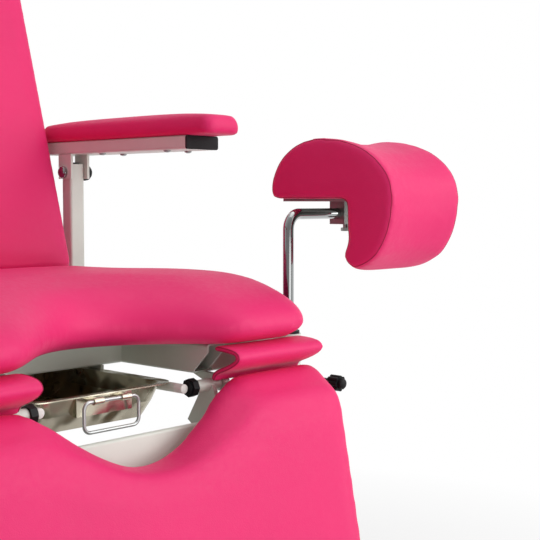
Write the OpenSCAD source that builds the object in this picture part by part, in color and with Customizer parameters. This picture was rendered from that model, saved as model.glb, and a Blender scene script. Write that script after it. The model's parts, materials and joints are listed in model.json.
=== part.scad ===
// Gynecological examination chair: lifting column on an H base, seat, reclining
// backrest, drop-down legrest, folding armrests, two swivelling knee supports and a
// sliding steel tray. Millimetres, patient facing -Y, floor at Z = 0.
// Lengths along Y are given from the seat reference line, which in_row() then puts in
// its place over the middle of the footprint.

/* [Seat] */
// Width of the seat cushion
seat_w = 620; // [560:5:700]
// Height of the seat top with the column down
seat_top = 640; // [610:5:760]
// Thickness of the seat cushion at its edge
seat_t = 79; // [70:1:90]
// Reach of the seat nose ahead of the reference line
seat_front = 295; // [280:1:300]
// Reach of the seat cushion behind the reference line
seat_rear = 238; // [225:1:240]
// Radius of the front corners of the seat cushion
seat_corner_r = 52; // [40:1:90]
// Radius of the rear corners of the seat cushion
seat_rear_r = 30; // [15:1:45]
// Half width of the cut-out in the front of the seat
seat_notch_half = 168; // [140:1:180]
// Depth of the cut-out in the front of the seat
seat_notch_depth = 109; // [80:1:115]
// Reach of the rolled nose over the top
seat_roll = 104; // [90:1:140]
// Reach of the rolled side edges over the top
seat_side_roll = 17; // [10:1:40]
// Height of the crown in the middle of the seat
seat_crown = 5; // [2:0.5:9]
// Thickness of the upholstery boards
board_t = 10; // [8:1:14]

/* [Seat frame] */
// Clear width between the two seat rails
rail_gap = 300; // [290:1:310]
// Width of the rail tubes
rail_w = 30; // [25:1:35]
// Height of the rail tubes
rail_h = 40; // [36:1:44]
// Wall of the frame tubes
tube_wall = 2.5; // [2:0.5:3]
// Corner radius of the frame tubes
tube_r = 4; // [3:0.5:5]
// Start of the middle crossbar ahead of the reference line
crossbar_y = 70; // [60:1:80]
// Depth of the crossbars along Y
crossbar_d = 30; // [24:1:34]

/* [Backrest] */
// Length of the backrest cushion
back_len = 700; // [600:5:760]
// Width of the backrest cushion
back_w = 614; // [540:1:616]
// Thickness of the backrest cushion
back_t = 70; // [60:1:80]
// Lean of the backrest behind upright
back_lean = 16.3; // [14:0.1:18]
// Backrest hinge behind the reference line
back_hinge_y = 262; // [261:1:266]
// Backrest hinge below the seat top
back_hinge_drop = 42; // [40:1:44]
// Front of the backrest cushion ahead of its hinge
back_face = 39; // [34:1:42]
// Backrest cushion's lower edge above its hinge
back_rise = 23; // [23:1:30]
// Spacing of the two struts behind the backrest
back_strut_gap = 250; // [230:1:252]
// Outer diameter of the backrest torque tube
torque_d = 30; // [26:1:32]

/* [Legrest] */
// Length of the legrest cushion
leg_len = 450; // [400:5:480]
// Width of the legrest cushion
leg_w = 640; // [580:1:642]
// Thickness of the legrest cushion
leg_t = 68; // [60:1:70]
// Lean of the legrest, its foot end forward
leg_lean = 11; // [8:0.5:13]
// Legrest hinge ahead of the reference line
leg_hinge_y = 240; // [238:1:242]
// Legrest hinge below the underside of the seat
leg_hinge_drop = 52; // [50:1:54]
// Top edge of the legrest cushion above its hinge
leg_rise = 10; // [9:1:11]
// Half width of the cut-out at the top of the legrest
leg_notch_half = 172; // [165:1:175]
// Depth of the cut-out at the top of the legrest
leg_notch_depth = 90; // [90:1:110]
// Radius of the legrest's upper corners
leg_corner_r = 20; // [15:1:50]

/* [Armrests] */
// Centre of each armrest from the middle of the chair
arm_x = 348.5; // [346:0.5:356]
// Width of the armrest tube
arm_tube_w = 67; // [60:1:70]
// Height of the armrest tube
arm_tube_h = 21; // [18:1:25]
// Underside of the armrest tube above the seat top
arm_rise = 183; // [170:1:220]
// Front end of the armrest tube ahead of the reference line
arm_front = 27; // [10:1:40]
// Rear end of the armrest tube behind the reference line
arm_rear = 334; // [305:1:340]
// Width of the armrest pad
arm_pad_w = 74; // [70:1:76]
// Thickness of the armrest pad at its edge
arm_pad_t = 30; // [24:1:36]
// Reach of the pad past the front end of the tube
arm_pad_over = 51; // [30:1:60]
// Armrest pivot behind the reference line
arm_pivot_y = 277.5; // [276:0.5:280]
// Armrest pivot below the armrest tube
arm_pivot_drop = 30; // [29:1:33]
// Width of the armrest post
arm_post_w = 29; // [26:1:31]
// Depth of the armrest post
arm_post_d = 25; // [22:1:27]

/* [Knee supports] */
// Rod of each knee support outside the wider of seat and legrest
knee_out = 25; // [24:1:32]
// Rod ahead of the reference line
knee_y = 206; // [200:1:208]
// Diameter of the rod
knee_rod_d = 16; // [14:1:17]
// Centre of the rod's horizontal arm above the seat top
knee_arm_rise = 86; // [80:1:100]
// Centre-line radius of the bend in the rod
knee_bend_r = 22; // [20:1:23]
// Length of the rod's horizontal arm from the upright
knee_arm_len = 142; // [135:1:150]
// Rod left below its holder
knee_tail = 178; // [165:1:185]
// Length of the knee pad across the leg
pad_len = 162; // [150:1:185]
// Overall depth of the knee pad
pad_depth = 224; // [205:1:230]
// Thickness of the pad over the arm
pad_top_t = 87; // [70:1:92]
// Drop of the pad's front lip below its underside
pad_lip = 96; // [70:1:98]
// Thickness of the pad's front lip
pad_lip_t = 80; // [65:1:82]
// Depth of the saddle at the middle of the pad
pad_saddle = 11; // [4:1:16]
// Underside of the pad above the arm's centre
pad_lift = 22; // [20:1:24]
// Rear edge of the pad behind the arm's centre
pad_rear = 57; // [52:1:62]

/* [Tray] */
// Overall length of the tray
tray_len = 286; // [250:1:290]
// Overall width of the tray over its rim
tray_w = 224; // [222:1:225]
// Depth of the tray
tray_h = 43; // [30:1:43]
// Thickness of the tray sheet
tray_wall = 1.5; // [1:0.5:2]
// Spacing of the two tray rods
tray_rod_gap = 218; // [216:1:219]
// Diameter of the tray rods
tray_rod_d = 12; // [10:1:13]
// Front of the tray rim ahead of the reference line
tray_front = 226; // [215:1:228]

/* [Column and base] */
// Column centre behind the reference line
column_y = 140; // [138:1:146]
// Width of the outer column along X
column_w = 190; // [180:1:192]
// Depth of the outer column along Y
column_d = 140; // [132:1:141]
// Wall of the column tubes
column_wall = 5; // [4:0.5:5]
// Space between one column tube and the next
column_space = 5; // [4:0.5:6]
// Height of the top of the outer column
column_outer_top = 400; // [380:5:415]
// Length of the base along Y
base_len = 640; // [600:5:680]
// Spacing of the base beams
base_gap = 460; // [400:5:520]
// Width of the base beams
base_beam_w = 60; // [50:1:70]
// Height of the base beams
base_beam_h = 40; // [35:1:45]
// Clearance under the base beams
base_lift = 30; // [26:1:36]

/* [Hidden] */
$fn = 64;
// Fit of a shaft in its bore, on the radius
running_gap = 0.05;
// Gap left at a bearing face
face_gap = 0.3;
// Overrun of every cut
over = 1;
vinyl = [0.88, 0.13, 0.40];
paint = [0.90, 0.90, 0.88];
steel = [0.72, 0.74, 0.76];
black = [0.08, 0.08, 0.09];
plywood = [0.45, 0.36, 0.26];

// Places on Y are negative ahead of the reference line
footprint_mid = 42;
seat_bottom = seat_top - seat_t;
rail_x = (rail_gap + rail_w) / 2;
rail_bottom = seat_bottom - rail_h;
rail_front_short = 54;
rail_front_y = -(seat_front - rail_front_short);
rail_rear_past = 29;
rail_rear_y = back_hinge_y + rail_rear_past;
rail_nose_cut = 21;

// Cushion sections: share of the roll reached, then share of the height above the
// widest line
roll_shares = [[0, 0], [0.035, 0.2], [0.13, 0.4], [0.34, 0.63], [0.67, 0.85], [1, 0.98]];
// The same for the long slope at the top of the legrest
slope_shares = [0, 0.02, 0.16, 0.66, 0.82, 1];
// Height of the widest line of a cushion as a share of its thickness
waist_share = 0.28;
// Share of the way out from the middle at which the crown is formed
crown_shares = [0.68, 0.36];
seat_under_front = 40;
seat_under_side = 10;
seat_board_in = 16;

// Soft strips in the fold; their path in strip thicknesses behind the tip and below
// the top
flap_t = 6;
flap_x = 146;
flap_reach = 5;
flap_shares = [
    [7.5, 0], [4.8, 0], [1.5, 0.33], [0.33, 0.83], [0, 1.5], [0.5, 2.2],
    [2.1, 3.2], [4.4, 4.2], [6.6, 5], [7.5, 5.7], [7.7, 7]
];

// Backrest values, in the frame of its hinge
back_hinge_z = seat_top - back_hinge_drop;
back_plane = back_t - back_face;
back_corner_r = 30;
back_foot_r = 10;
back_roll = 9;
back_under = 10;
back_board_in = 14;
back_crown = 4;
back_strut_w = 40;
back_strut_d = 20;
back_strut_x = back_strut_gap / 2;
back_strut_in = 88;
back_bar_h = 40;
back_plate_t = 8;
back_plate_w = 34;
hinge_plate_t = 8;
hinge_plate_w = 38;

// Legrest values, in the frame of its hinge
leg_hinge_z = seat_bottom - leg_hinge_drop;
leg_plane = 24;
leg_board_in = 14;
leg_roll = 13;
leg_top_roll = 44;
leg_notch_lift = 36;
leg_waist_share = 0.08;
leg_under = 6;
leg_crown = 3;
leg_foot_r = 40;
leg_board_t = 12;
leg_frame_d = 16;
leg_bar_top = 44;
leg_bar_h = 40;
leg_tube_w = 30;
barrel_d = 16.5;
barrel_len = 43;
barrel_x = 127;
barrel_bore_d = 12;
gusset_t = 6;
gusset_gap = 300;
lug_t = 8;
lug_x = 172;
lug_w = 20;
lug_foot = 26;
cap_nut_d = 24;
cap_nut_len = 9;

// Armrest values
arm_bottom = seat_top + arm_rise;
arm_top = arm_bottom + arm_tube_h;
arm_pivot_z = arm_bottom - arm_pivot_drop;
arm_wall = 2;
arm_plug_t = 3;
arm_cheek_t = 4.6;
arm_cheek_front = 20;
arm_cheek_rear = 14;
arm_cheek_drop = 11;
arm_cheek_gap = 0.4;
arm_post_top = 14;
arm_bolt_d = 10;
arm_dome_d = 21;
arm_dome_h = 8;
arm_knob_d = 24;
arm_knob_len = 14;
arm_screw_d = 11;
arm_screw_h = 3.2;
arm_screw_gap = 44;
arm_screw_first = 56;
arm_screw_step = 158;
arm_board_t = 6;

// Knee support values
knee_x = max(seat_w, leg_w) / 2 + knee_out;
knee_arm_z = seat_top + knee_arm_rise;
knee_rod_r = knee_rod_d / 2;
bush_wall = 4;
bush_r = knee_rod_r + bush_wall;
bush_flange = 4;
bush_flange_w = 4;
holder_wall = 6;
holder_r = bush_r + holder_wall;
holder_top = seat_bottom - 5;
holder_h = 72;
holder_arm_h = 30;
holder_arm_d = 25;
knob_stud_d = 10;
knob_stud_out = 62;
knob_stud_rise = 10;
knob_d = 22;
knob_len = 24;
knob_lobes = 8;
pad_x = knee_x + knee_bend_r + 1;
pad_corner = 4;
clamp_w = 18;
clamp_d = 28;
clamp_down = 16;
clamp_x = pad_x + pad_len / 2 + 14;
clamp_plate_t = 4;
clamp_plate_in = 14;
clamp_bolt_d = 8;

// Tray values
tray_rod_z = leg_hinge_z;
tray_rim_z = tray_rod_z + tray_rod_d / 2 + face_gap;
tray_rim_w = 13;
tray_rim_corner = 26;
tray_rim_front = 8;
tray_taper = 14;
tray_corner = 20;
tray_under_corner = 12;
tray_rod_front = tray_front + 14;
tray_rod_past = 8;
tray_cap_len = 12;
tray_cap_out = 3;
tray_hanger_t = 5;
tray_plate_w = 84;
tray_plate_h = 24;
bail_w = 83;
bail_h = 36;
bail_wire = 4.4;
bail_out = 15;
bail_corner = 9;
ear_w = 14;
ear_wall = 2;

// Column and base values
base_top = base_lift + base_beam_h;
base_plate_t = 8;
base_forward = 25;
base_front_y = column_y - base_len / 2 - base_forward;
column_foot = base_top + base_plate_t;
column_head_t = 12;
column_head_z = rail_bottom - column_head_t;
column_step = column_wall + column_space;
column_stage_step = 10;
column_mid_foot = column_foot + column_stage_step;
column_mid_up = 45;
column_inner_foot = column_mid_foot + column_stage_step;
guide_w = 40;
guide_h = 60;
ram_d = 36;
cylinder_wall = 9;
cylinder_over = 20;
cylinder_top = column_outer_top + cylinder_over;
ram_lift = 2;
ram_foot = column_inner_foot + ram_lift;
box_w = 150;
box_d = 60;
box_h = 120;
box_lift = 40;
inlet_w = 48;
inlet_h = 28;
inlet_d = 12;
foot_d = 50;
foot_t = 12;
foot_stem_d = 12;
foot_in = 30;
cap_wall = 4;

// Actuator values: the rod moves along Y and its pin runs in a slotted lever
act_x = 120;
act_r = 20;
act_rod_d = 18;
act_pin_d = 10;
act_pin_side = 15;
slot_gap = 6;
lever_t = 8;
lever_wall = 9;
back_throw = 35;
back_lever = 127;
leg_throw = 30;
leg_lever = 100;
act_mount_y = 62;
act_block_h = 50;
act_block_l = 80;
act_block_past = 12;
act_clear = 34;
act_end = 12;
hanger_t = 6;
hanger_w = 60;

// Puts what is drawn about the seat reference line in its place over the footprint
module in_row() {
    translate([0, -footprint_mid, 0]) children();
}

// Draws a left-hand piece on the side that is named
module on_side(side) {
    if (side == "left") children();
    else mirror([1, 0, 0]) children();
}

// Frame of the backrest: hinge line at the origin, Z up the back, -Y out of the front
module at_back() {
    translate([0, back_hinge_y, back_hinge_z]) rotate([-back_lean, 0, 0]) children();
}

// Frame of the legrest: hinge line at the origin, Z up the legrest, -Y out of the front
module at_legrest() {
    translate([0, -leg_hinge_y, leg_hinge_z]) rotate([-leg_lean, 0, 0]) children();
}

// Flat profile with round corners, about its centre
module round_rect(w, h, r) {
    square([w - 2 * r, h], center = true);
    square([w, h - 2 * r], center = true);
    for (x = [-1, 1], y = [-1, 1])
        translate([x * (w / 2 - r), y * (h / 2 - r)]) circle(r = r);
}

// Rectangular tube along Z from the origin
module tube_z(w, d, len, wall, r) {
    linear_extrude(len) difference() {
        round_rect(w, d, r);
        round_rect(w - 2 * wall, d - 2 * wall, max(r - wall, wall / 2));
    }
}

// Rectangular tube along Y, w wide on X and h high on Z
module tube_y(w, h, len, wall, r) {
    rotate([-90, 0, 0]) tube_z(w, h, len, wall, r);
}

// Rectangular tube along X, d deep on Y and h high on Z
module tube_x(d, h, len, wall, r) {
    rotate([90, 0, 90]) tube_z(d, h, len, wall, r);
}

// Straight run of points from a up to but not including b
function run(a, b, n) = [for (i = [0 : n - 1]) a + (b - a) * i / n];

// Arc of points about c, its end not included
function arc(c, r, a0, a1, n) = [
    for (i = [0 : n - 1])
        let (a = a0 + (a1 - a0) * i / n) c + r * [cos(a), sin(a)]
];

// Depth of a rounded cut-out at x
function notch(x, half, depth) = depth * pow(max(0, 1 - pow(x / half, 2)), 1.5);

// Outline with round corners and a cut-out in its low-y edge, anticlockwise
function outline(w, y0, y1, r0, r1, half, depth) =
    let (x = w / 2, front = run([-x + r0, y0], [x - r0, y0], 28)) concat(
        [for (p = front) [p[0], p[1] + notch(p[0], half, depth)]],
        arc([x - r0, y0 + r0], r0, -90, 0, 7),
        run([x, y0 + r0], [x, y1 - r1], 5),
        arc([x - r1, y1 - r1], r1, 0, 90, 4),
        run([x - r1, y1], [-x + r1, y1], 8),
        arc([-x + r1, y1 - r1], r1, 90, 180, 4),
        run([-x, y1 - r1], [-x, y0 + r0], 5),
        arc([-x + r0, y0 + r0], r0, 180, 270, 7)
    );

// Ring of points between two matching outlines, a share of the way, at height z
function ring(a, b, share, z) = [
    for (i = [0 : len(a) - 1])
        let (p = a[i] + (b[i] - a[i]) * share) [p[0], p[1], z]
];

// Solid skin over a stack of rings, closed by a fan at each end
module loft(rings, low, high) {
    n = len(rings[0]);
    m = len(rings);
    points = concat([for (r = rings) for (p = r) p], [low, high]);
    sides = [
        for (k = [0 : m - 2]) for (i = [0 : n - 1])
            let (a = k * n + i, b = k * n + (i + 1) % n)
                for (t = [[a, a + n, b], [b, a + n, b + n]]) t
    ];
    floor_fan = [for (i = [0 : n - 1]) [i, (i + 1) % n, m * n]];
    roof_fan = [
        for (i = [0 : n - 1]) [(m - 1) * n + (i + 1) % n, (m - 1) * n + i, m * n + 1]
    ];
    polyhedron(points = points, faces = concat(sides, floor_fan, roof_fan));
}

// Outlines from the widest to the top one, one for each height of the roll
function eased(wide, top) = [
    for (s = roll_shares)
        [for (i = [0 : len(wide) - 1]) wide[i] + (top[i] - wide[i]) * s[0]]
];

// Upholstered cushion on z = 0: under outline, outlines of the roll, then a crown
module cushion(under, rolls, t, crown, mid, waist_at = waist_share) {
    waist = t * waist_at;
    under_share = 0.55;
    under_rise = 0.22;
    wide = rolls[0];
    last = len(rolls) - 1;
    top = rolls[last];
    loft(
        concat(
            [ring(under, wide, 0, 0), ring(under, wide, under_share, waist * under_rise)],
            [
                for (k = [0 : last])
                    ring(rolls[k], wide, 0, waist + (t - waist) * roll_shares[k][1])
            ],
            [
                for (c = crown_shares)
                    ring([for (p = top) mid], top, c, t + crown * (1 - c * c))
            ]
        ),
        [mid[0], mid[1], 0],
        [mid[0], mid[1], t + crown]
    );
}

// Seat outline drawn in by a reach at the front and another at the sides and rear
function seat_outline(front_in, side_in, notch_cut) = outline(
    seat_w - 2 * side_in, -seat_front + front_in, seat_rear - side_in,
    max(seat_corner_r - side_in / 2, seat_corner_r / 2),
    max(seat_rear_r - side_in / 2, seat_rear_r / 3), seat_notch_half, notch_cut
);

module seat_board_shape(t) {
    linear_extrude(t) polygon(seat_outline(
        seat_under_front + seat_board_in, seat_under_side + seat_board_in, seat_notch_depth
    ));
}

module seat_board() {
    color(plywood) in_row() translate([0, 0, seat_bottom]) seat_board_shape(board_t);
}

module seat_cushion() {
    notch_top_share = 0.45;
    color(vinyl) in_row() translate([0, 0, seat_bottom]) difference() {
        cushion(
            seat_outline(seat_under_front, seat_under_side, seat_notch_depth),
            eased(
                seat_outline(0, 0, seat_notch_depth),
                seat_outline(seat_roll, seat_side_roll, seat_notch_depth * notch_top_share)
            ),
            seat_t - seat_crown, seat_crown, [0, 0]
        );
        translate([0, 0, -over]) seat_board_shape(board_t + over);
    }
}

// Rail with its front end cut back from below, and the upright plate of the back hinge
module seat_rail(side) {
    len = rail_rear_y - rail_front_y;
    color(paint) in_row() on_side(side) {
        difference() {
            translate([rail_x, rail_front_y, rail_bottom + rail_h / 2])
                tube_y(rail_w, rail_h, len, tube_wall, tube_r);
            translate([rail_x, rail_front_y, rail_bottom]) rotate([45, 0, 0])
                cube([rail_w + 2 * over, 2 * rail_nose_cut, 2 * rail_nose_cut], center = true);
        }
        translate([rail_x - hinge_plate_t / 2, back_hinge_y, 0]) difference() {
            union() {
                translate([0, -hinge_plate_w / 2, seat_bottom])
                    cube([hinge_plate_t, hinge_plate_w, back_hinge_z - seat_bottom]);
                translate([0, 0, back_hinge_z]) rotate([0, 90, 0])
                    cylinder(h = hinge_plate_t, d = hinge_plate_w);
            }
            translate([-over, 0, back_hinge_z]) rotate([0, 90, 0])
                cylinder(h = hinge_plate_t + 2 * over, r = torque_d / 2 + running_gap);
        }
        translate([lug_x, -leg_hinge_y, 0]) difference() {
            hull() {
                translate([0, rail_front_y + leg_hinge_y + 1.5 * rail_nose_cut, rail_bottom - over])
                    cube([lug_t, lug_foot, over]);
                translate([0, 0, leg_hinge_z]) rotate([0, 90, 0])
                    cylinder(h = lug_t, d = lug_w);
            }
            translate([-over, 0, leg_hinge_z]) rotate([0, 90, 0])
                cylinder(h = lug_t + 2 * over, r = barrel_bore_d / 2 + running_gap);
        }
    }
}

// Two bars between the rails: one over the tray, one behind the column
module seat_crossbars() {
    rear_y = column_y + column_d / 2 + crossbar_d / 2;
    color(paint) in_row() for (y = [-crossbar_y + crossbar_d / 2, rear_y])
        translate([-rail_gap / 2, y, rail_bottom + rail_h / 2])
            tube_x(crossbar_d, rail_h, rail_gap, tube_wall, tube_r);
}

// Pin of each legrest hinge, held in the lug of its rail
module legrest_hinge_pins() {
    pin_in = cap_nut_len + face_gap;
    len = lug_x + lug_t - barrel_x + pin_in;
    head_h = 4;
    color(steel) in_row() for (side = ["left", "right"]) on_side(side)
        translate([barrel_x - pin_in, -leg_hinge_y, leg_hinge_z]) rotate([0, 90, 0]) {
            cylinder(h = len, d = barrel_bore_d);
            translate([0, 0, len]) cylinder(h = head_h, d = barrel_d);
        }
}

// Eight-sided black cap nuts on the inner ends of the hinge pins
module hinge_cap_nuts() {
    bore_r = barrel_bore_d / 2 + running_gap;
    color(black) in_row() for (side = ["left", "right"]) on_side(side)
        translate([barrel_x - face_gap, -leg_hinge_y, leg_hinge_z]) rotate([0, -90, 0])
            difference() {
                union() {
                    cylinder(h = cap_nut_len, d = cap_nut_d, $fn = 8);
                    translate([0, 0, cap_nut_len])
                        cylinder(h = cap_nut_len / 4, d = cap_nut_d * 0.7);
                }
                translate([0, 0, -over]) cylinder(h = cap_nut_len + over, r = bore_r);
            }
}

// Back outline drawn in by one reach all round
function back_outline(inset) = outline(
    back_w - 2 * inset, back_rise + inset, back_rise + back_len - inset,
    max(back_foot_r - inset / 2, back_foot_r / 3),
    max(back_corner_r - inset / 2, back_corner_r / 3), back_w, 0
);

module back_cushion() {
    color(vinyl) in_row() at_back() translate([0, back_plane, 0]) rotate([90, 0, 0])
        difference() {
            cushion(
                back_outline(back_under), eased(back_outline(0), back_outline(back_roll)),
                back_t - back_crown, back_crown, [0, back_rise + back_len / 2]
            );
            translate([0, 0, -over]) linear_extrude(board_t + over)
                polygon(back_outline(back_under + back_board_in));
        }
}

module back_board() {
    color(plywood) in_row() at_back() translate([0, back_plane, 0]) rotate([90, 0, 0])
        linear_extrude(board_t) polygon(back_outline(back_under + back_board_in));
}

// Ladder of two struts and two bars behind the backrest, with plates to the torque tube
module back_frame() {
    strut_len = back_len - back_strut_in;
    centre_y = back_plane + back_strut_d / 2;
    color(paint) in_row() at_back() {
        for (side = ["left", "right"]) on_side(side) {
            translate([back_strut_x, centre_y, back_rise])
                tube_z(back_strut_w, back_strut_d, strut_len, tube_wall, tube_r);
            difference() {
                translate([back_strut_x - back_plate_t / 2, 0, 0]) rotate([90, 0, 90])
                    linear_extrude(back_plate_t) polygon([
                        [-back_plate_w / 2, 0], [0, -back_plate_w / 2],
                        [back_plate_w / 2, -back_plate_w / 4],
                        [centre_y + back_strut_d, back_rise - back_strut_d],
                        [centre_y + back_strut_d, back_rise + back_bar_h],
                        [back_plane + back_strut_d, back_rise + back_bar_h],
                        [back_plane + back_strut_d, back_rise],
                        [back_plane, back_rise], [back_plane, back_rise - back_plate_t],
                        [0, back_plate_w / 2]
                    ]);
                translate([back_strut_x - back_plate_t, 0, 0]) rotate([0, 90, 0])
                    cylinder(h = 2 * back_plate_t, r = torque_d / 2 + running_gap);
            }
        }
        for (z = [back_rise + back_bar_h, back_rise + strut_len - back_bar_h])
            translate([-back_strut_x + back_strut_w / 2, centre_y, z])
                tube_x(back_strut_d, back_bar_h, 2 * back_strut_x - back_strut_w,
                    tube_wall, tube_r);
    }
}

// Slot for an actuator's pin in a lever that hangs down from the origin, grown by grow
module slot_shape(reach, throw, grow) {
    far = reach / cos(throw) + slot_gap;
    near = reach - slot_gap;
    r = act_pin_d / 2 + slot_gap + grow;
    translate([-r, -far]) square([2 * r, far - near]);
    translate([0, -far]) circle(r = r);
    translate([0, -near]) circle(r = r);
}

// Torque tube that turns in the rail plates, with the lever that the actuator moves
module back_torque_tube() {
    half = rail_x + hinge_plate_t / 2 + lever_wall;
    hub_d = torque_d + 1.2 * lever_wall;
    lever_w = torque_d * 0.8;
    elbow = back_lever * 0.75;
    color(paint) in_row() translate([0, back_hinge_y, back_hinge_z]) difference() {
        union() {
            rotate([0, 90, 0]) translate([0, 0, -half]) cylinder(h = 2 * half, d = torque_d);
            translate([-act_x + act_pin_side - lever_t / 2, 0, 0]) rotate([90, 0, 90])
                linear_extrude(lever_t) rotate(back_throw) difference() {
                    union() {
                        hull() {
                            circle(d = hub_d);
                            rotate(back_throw) translate([0, -elbow]) circle(d = lever_w);
                        }
                        hull() {
                            rotate(back_throw) translate([0, -elbow]) circle(d = lever_w);
                            translate([0, -back_lever - lever_w / 2]) circle(d = lever_w);
                        }
                        slot_shape(back_lever, back_throw, lever_wall);
                    }
                    slot_shape(back_lever, back_throw, 0);
                }
        }
        rotate([0, 90, 0]) translate([0, 0, -half - over])
            cylinder(h = 2 * half + 2 * over, r = torque_d / 2 - tube_wall);
    }
}

// Legrest outline in its own plane, y running down the legrest from the hinge line
function leg_outline(top_in, side_in, notch_cut) = outline(
    leg_w - 2 * side_in, -leg_rise + top_in, leg_len - leg_rise - side_in,
    max(leg_corner_r - side_in / 2, leg_corner_r / 2),
    max(leg_foot_r - side_in / 2, leg_foot_r / 2), leg_notch_half, notch_cut
);

// Turns a shape drawn with y down the legrest and z out of its front into place
module on_legrest(plane) {
    at_legrest() translate([0, -plane, 0]) rotate([90, 0, 0]) rotate([0, 0, 180]) children();
}

module legrest_cushion() {
    notch_top = leg_notch_depth - leg_notch_lift;
    rolls = [
        for (k = [0 : len(roll_shares) - 1])
            let (side = leg_roll * roll_shares[k][0], slope = slope_shares[k])
                leg_outline(
                    leg_top_roll * slope, side,
                    leg_notch_depth + (notch_top - leg_notch_depth) * slope
                )
    ];
    color(vinyl) in_row() on_legrest(leg_plane) cushion(
        leg_outline(leg_under, leg_under, leg_notch_depth), rolls,
        leg_t - leg_crown, leg_crown, [0, leg_len / 2 + leg_rise], leg_waist_share
    );
}

module legrest_board() {
    side_in = leg_under + leg_board_in;
    color(plywood) in_row() on_legrest(leg_plane - leg_board_t) linear_extrude(leg_board_t)
        polygon(leg_outline(side_in, side_in, leg_notch_depth));
}

// Gusset from the hinge barrel to the side tube and the crossbar, y and z as in place
module gusset_shape(front, rear) {
    reach = 45;
    drop = 41;
    polygon([
        [0, barrel_d / 2], [-barrel_d / 2, 0], [-front, -barrel_d / 2],
        [-front, -leg_bar_top - leg_bar_h], [rear, -leg_bar_top - leg_bar_h],
        [reach, -drop], [barrel_d / 2, 0]
    ]);
}

// Side tubes, crossbars, hinge gussets with barrels, and the slotted lever
module legrest_frame() {
    front = leg_plane - leg_board_t;
    rear = leg_frame_d - front;
    mid_y = (rear - front) / 2;
    tube_x_mid = (gusset_gap + leg_tube_w) / 2;
    side_len = leg_len * 0.78 - leg_bar_top;
    low_bar = leg_bar_top + side_len - leg_bar_h;
    turn = leg_throw + leg_lean;
    color(paint) in_row() at_legrest() {
        for (side = ["left", "right"]) on_side(side) {
            translate([tube_x_mid, mid_y, -leg_bar_top - side_len])
                tube_z(leg_tube_w, leg_frame_d, side_len, tube_wall, tube_r);
            difference() {
                union() {
                    translate([gusset_gap / 2, 0, 0]) rotate([90, 0, 90])
                        linear_extrude(gusset_t) gusset_shape(front, rear);
                    translate([barrel_x, 0, 0]) rotate([0, 90, 0])
                        cylinder(h = barrel_len, d = barrel_d);
                }
                translate([barrel_x - over, 0, 0]) rotate([0, 90, 0])
                    cylinder(h = barrel_len + 2 * over, r = barrel_bore_d / 2 + running_gap);
            }
        }
        for (u = [leg_bar_top, low_bar])
            translate([-gusset_gap / 2, mid_y, -u - leg_bar_h / 2])
                tube_x(leg_frame_d, leg_bar_h, gusset_gap, tube_wall, tube_r);
        translate([-act_x + act_pin_side - lever_t / 2, 0, 0]) rotate([90, 0, 90])
            linear_extrude(lever_t) difference() {
                hull() {
                    translate([rear, -leg_bar_top - leg_bar_h])
                        square([over, leg_bar_h]);
                    rotate(turn) slot_shape(leg_lever, leg_throw, lever_wall);
                }
                rotate(turn) slot_shape(leg_lever, leg_throw, 0);
            }
    }
}

// Soft strip that closes the fold between seat and legrest on one side
module flap(side) {
    outer_x = seat_w / 2;
    tip_y = -(seat_front + flap_reach);
    top_z = seat_bottom - flap_t / 2 - face_gap;
    path = [for (p = flap_shares) [tip_y + p[0] * flap_t, top_z - p[1] * flap_t]];
    last = len(path) - 1;
    function slope(i) = let (
        a = path[max(i - 1, 0)], b = path[min(i + 1, last)], d = b - a
    ) d / norm(d);
    function side_pt(i, s) = path[i] + s * flap_t / 2 * [-slope(i)[1], slope(i)[0]];
    loop = concat([for (i = [0 : last]) side_pt(i, 1)], [for (i = [last : -1 : 0]) side_pt(i, -1)]);
    color(vinyl) in_row() on_side(side) translate([outer_x, 0, 0]) rotate([90, 0, 90])
        mirror([0, 0, 1]) linear_extrude(outer_x - flap_x) polygon(loop);
}

// Post with its outrigger from the rail, cross-drilled at the pivot, and a top plug
module armrest_post(side) {
    out = arm_x - arm_tube_w / 2 + arm_cheek_t + arm_cheek_gap + arm_post_w / 2;
    foot = rail_bottom;
    reach = out - arm_post_w / 2 - rail_gap / 2 - rail_w;
    color(paint) in_row() on_side(side) {
        difference() {
            translate([out, arm_pivot_y, foot])
                tube_z(arm_post_w, arm_post_d, arm_pivot_z + arm_post_top - foot, tube_wall, tube_r);
            translate([out - arm_post_w, arm_pivot_y, arm_pivot_z]) rotate([0, 90, 0])
                cylinder(h = 2 * arm_post_w, r = arm_bolt_d / 2 + running_gap);
        }
        translate([rail_gap / 2 + rail_w, arm_pivot_y, foot + arm_post_w / 2])
            tube_x(arm_post_d, arm_post_w, reach, tube_wall, tube_r);
    }
}

// Armrest tube with the two cheeks of its pivot bracket welded beneath
module armrest_tube(side) {
    len = arm_rear + arm_front - arm_plug_t;
    cheek_x = arm_x - arm_tube_w / 2;
    cheek_gap_w = arm_post_w + 2 * arm_cheek_gap;
    color(paint) in_row() on_side(side) {
        difference() {
            translate([arm_x, -arm_front + arm_plug_t, arm_bottom + arm_tube_h / 2])
                tube_y(arm_tube_w, arm_tube_h, len, arm_wall, tube_r);
            for (p = arm_screw_places())
                translate([p[0], p[1], arm_bottom - over])
                    cylinder(h = arm_tube_h + 2 * over, r = arm_screw_d / 4 + running_gap);
        }
        for (x = [cheek_x, cheek_x + arm_cheek_t + cheek_gap_w])
            translate([x, 0, 0]) difference() {
                translate([0, arm_pivot_y - arm_cheek_front, arm_pivot_z - arm_cheek_drop])
                    cube([
                        arm_cheek_t, arm_cheek_front + arm_cheek_rear,
                        arm_bottom - arm_pivot_z + arm_cheek_drop
                    ]);
                translate([-over, arm_pivot_y, arm_pivot_z]) rotate([0, 90, 0])
                    cylinder(h = arm_cheek_t + 2 * over, r = arm_bolt_d / 2 + running_gap);
            }
    }
}

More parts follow.
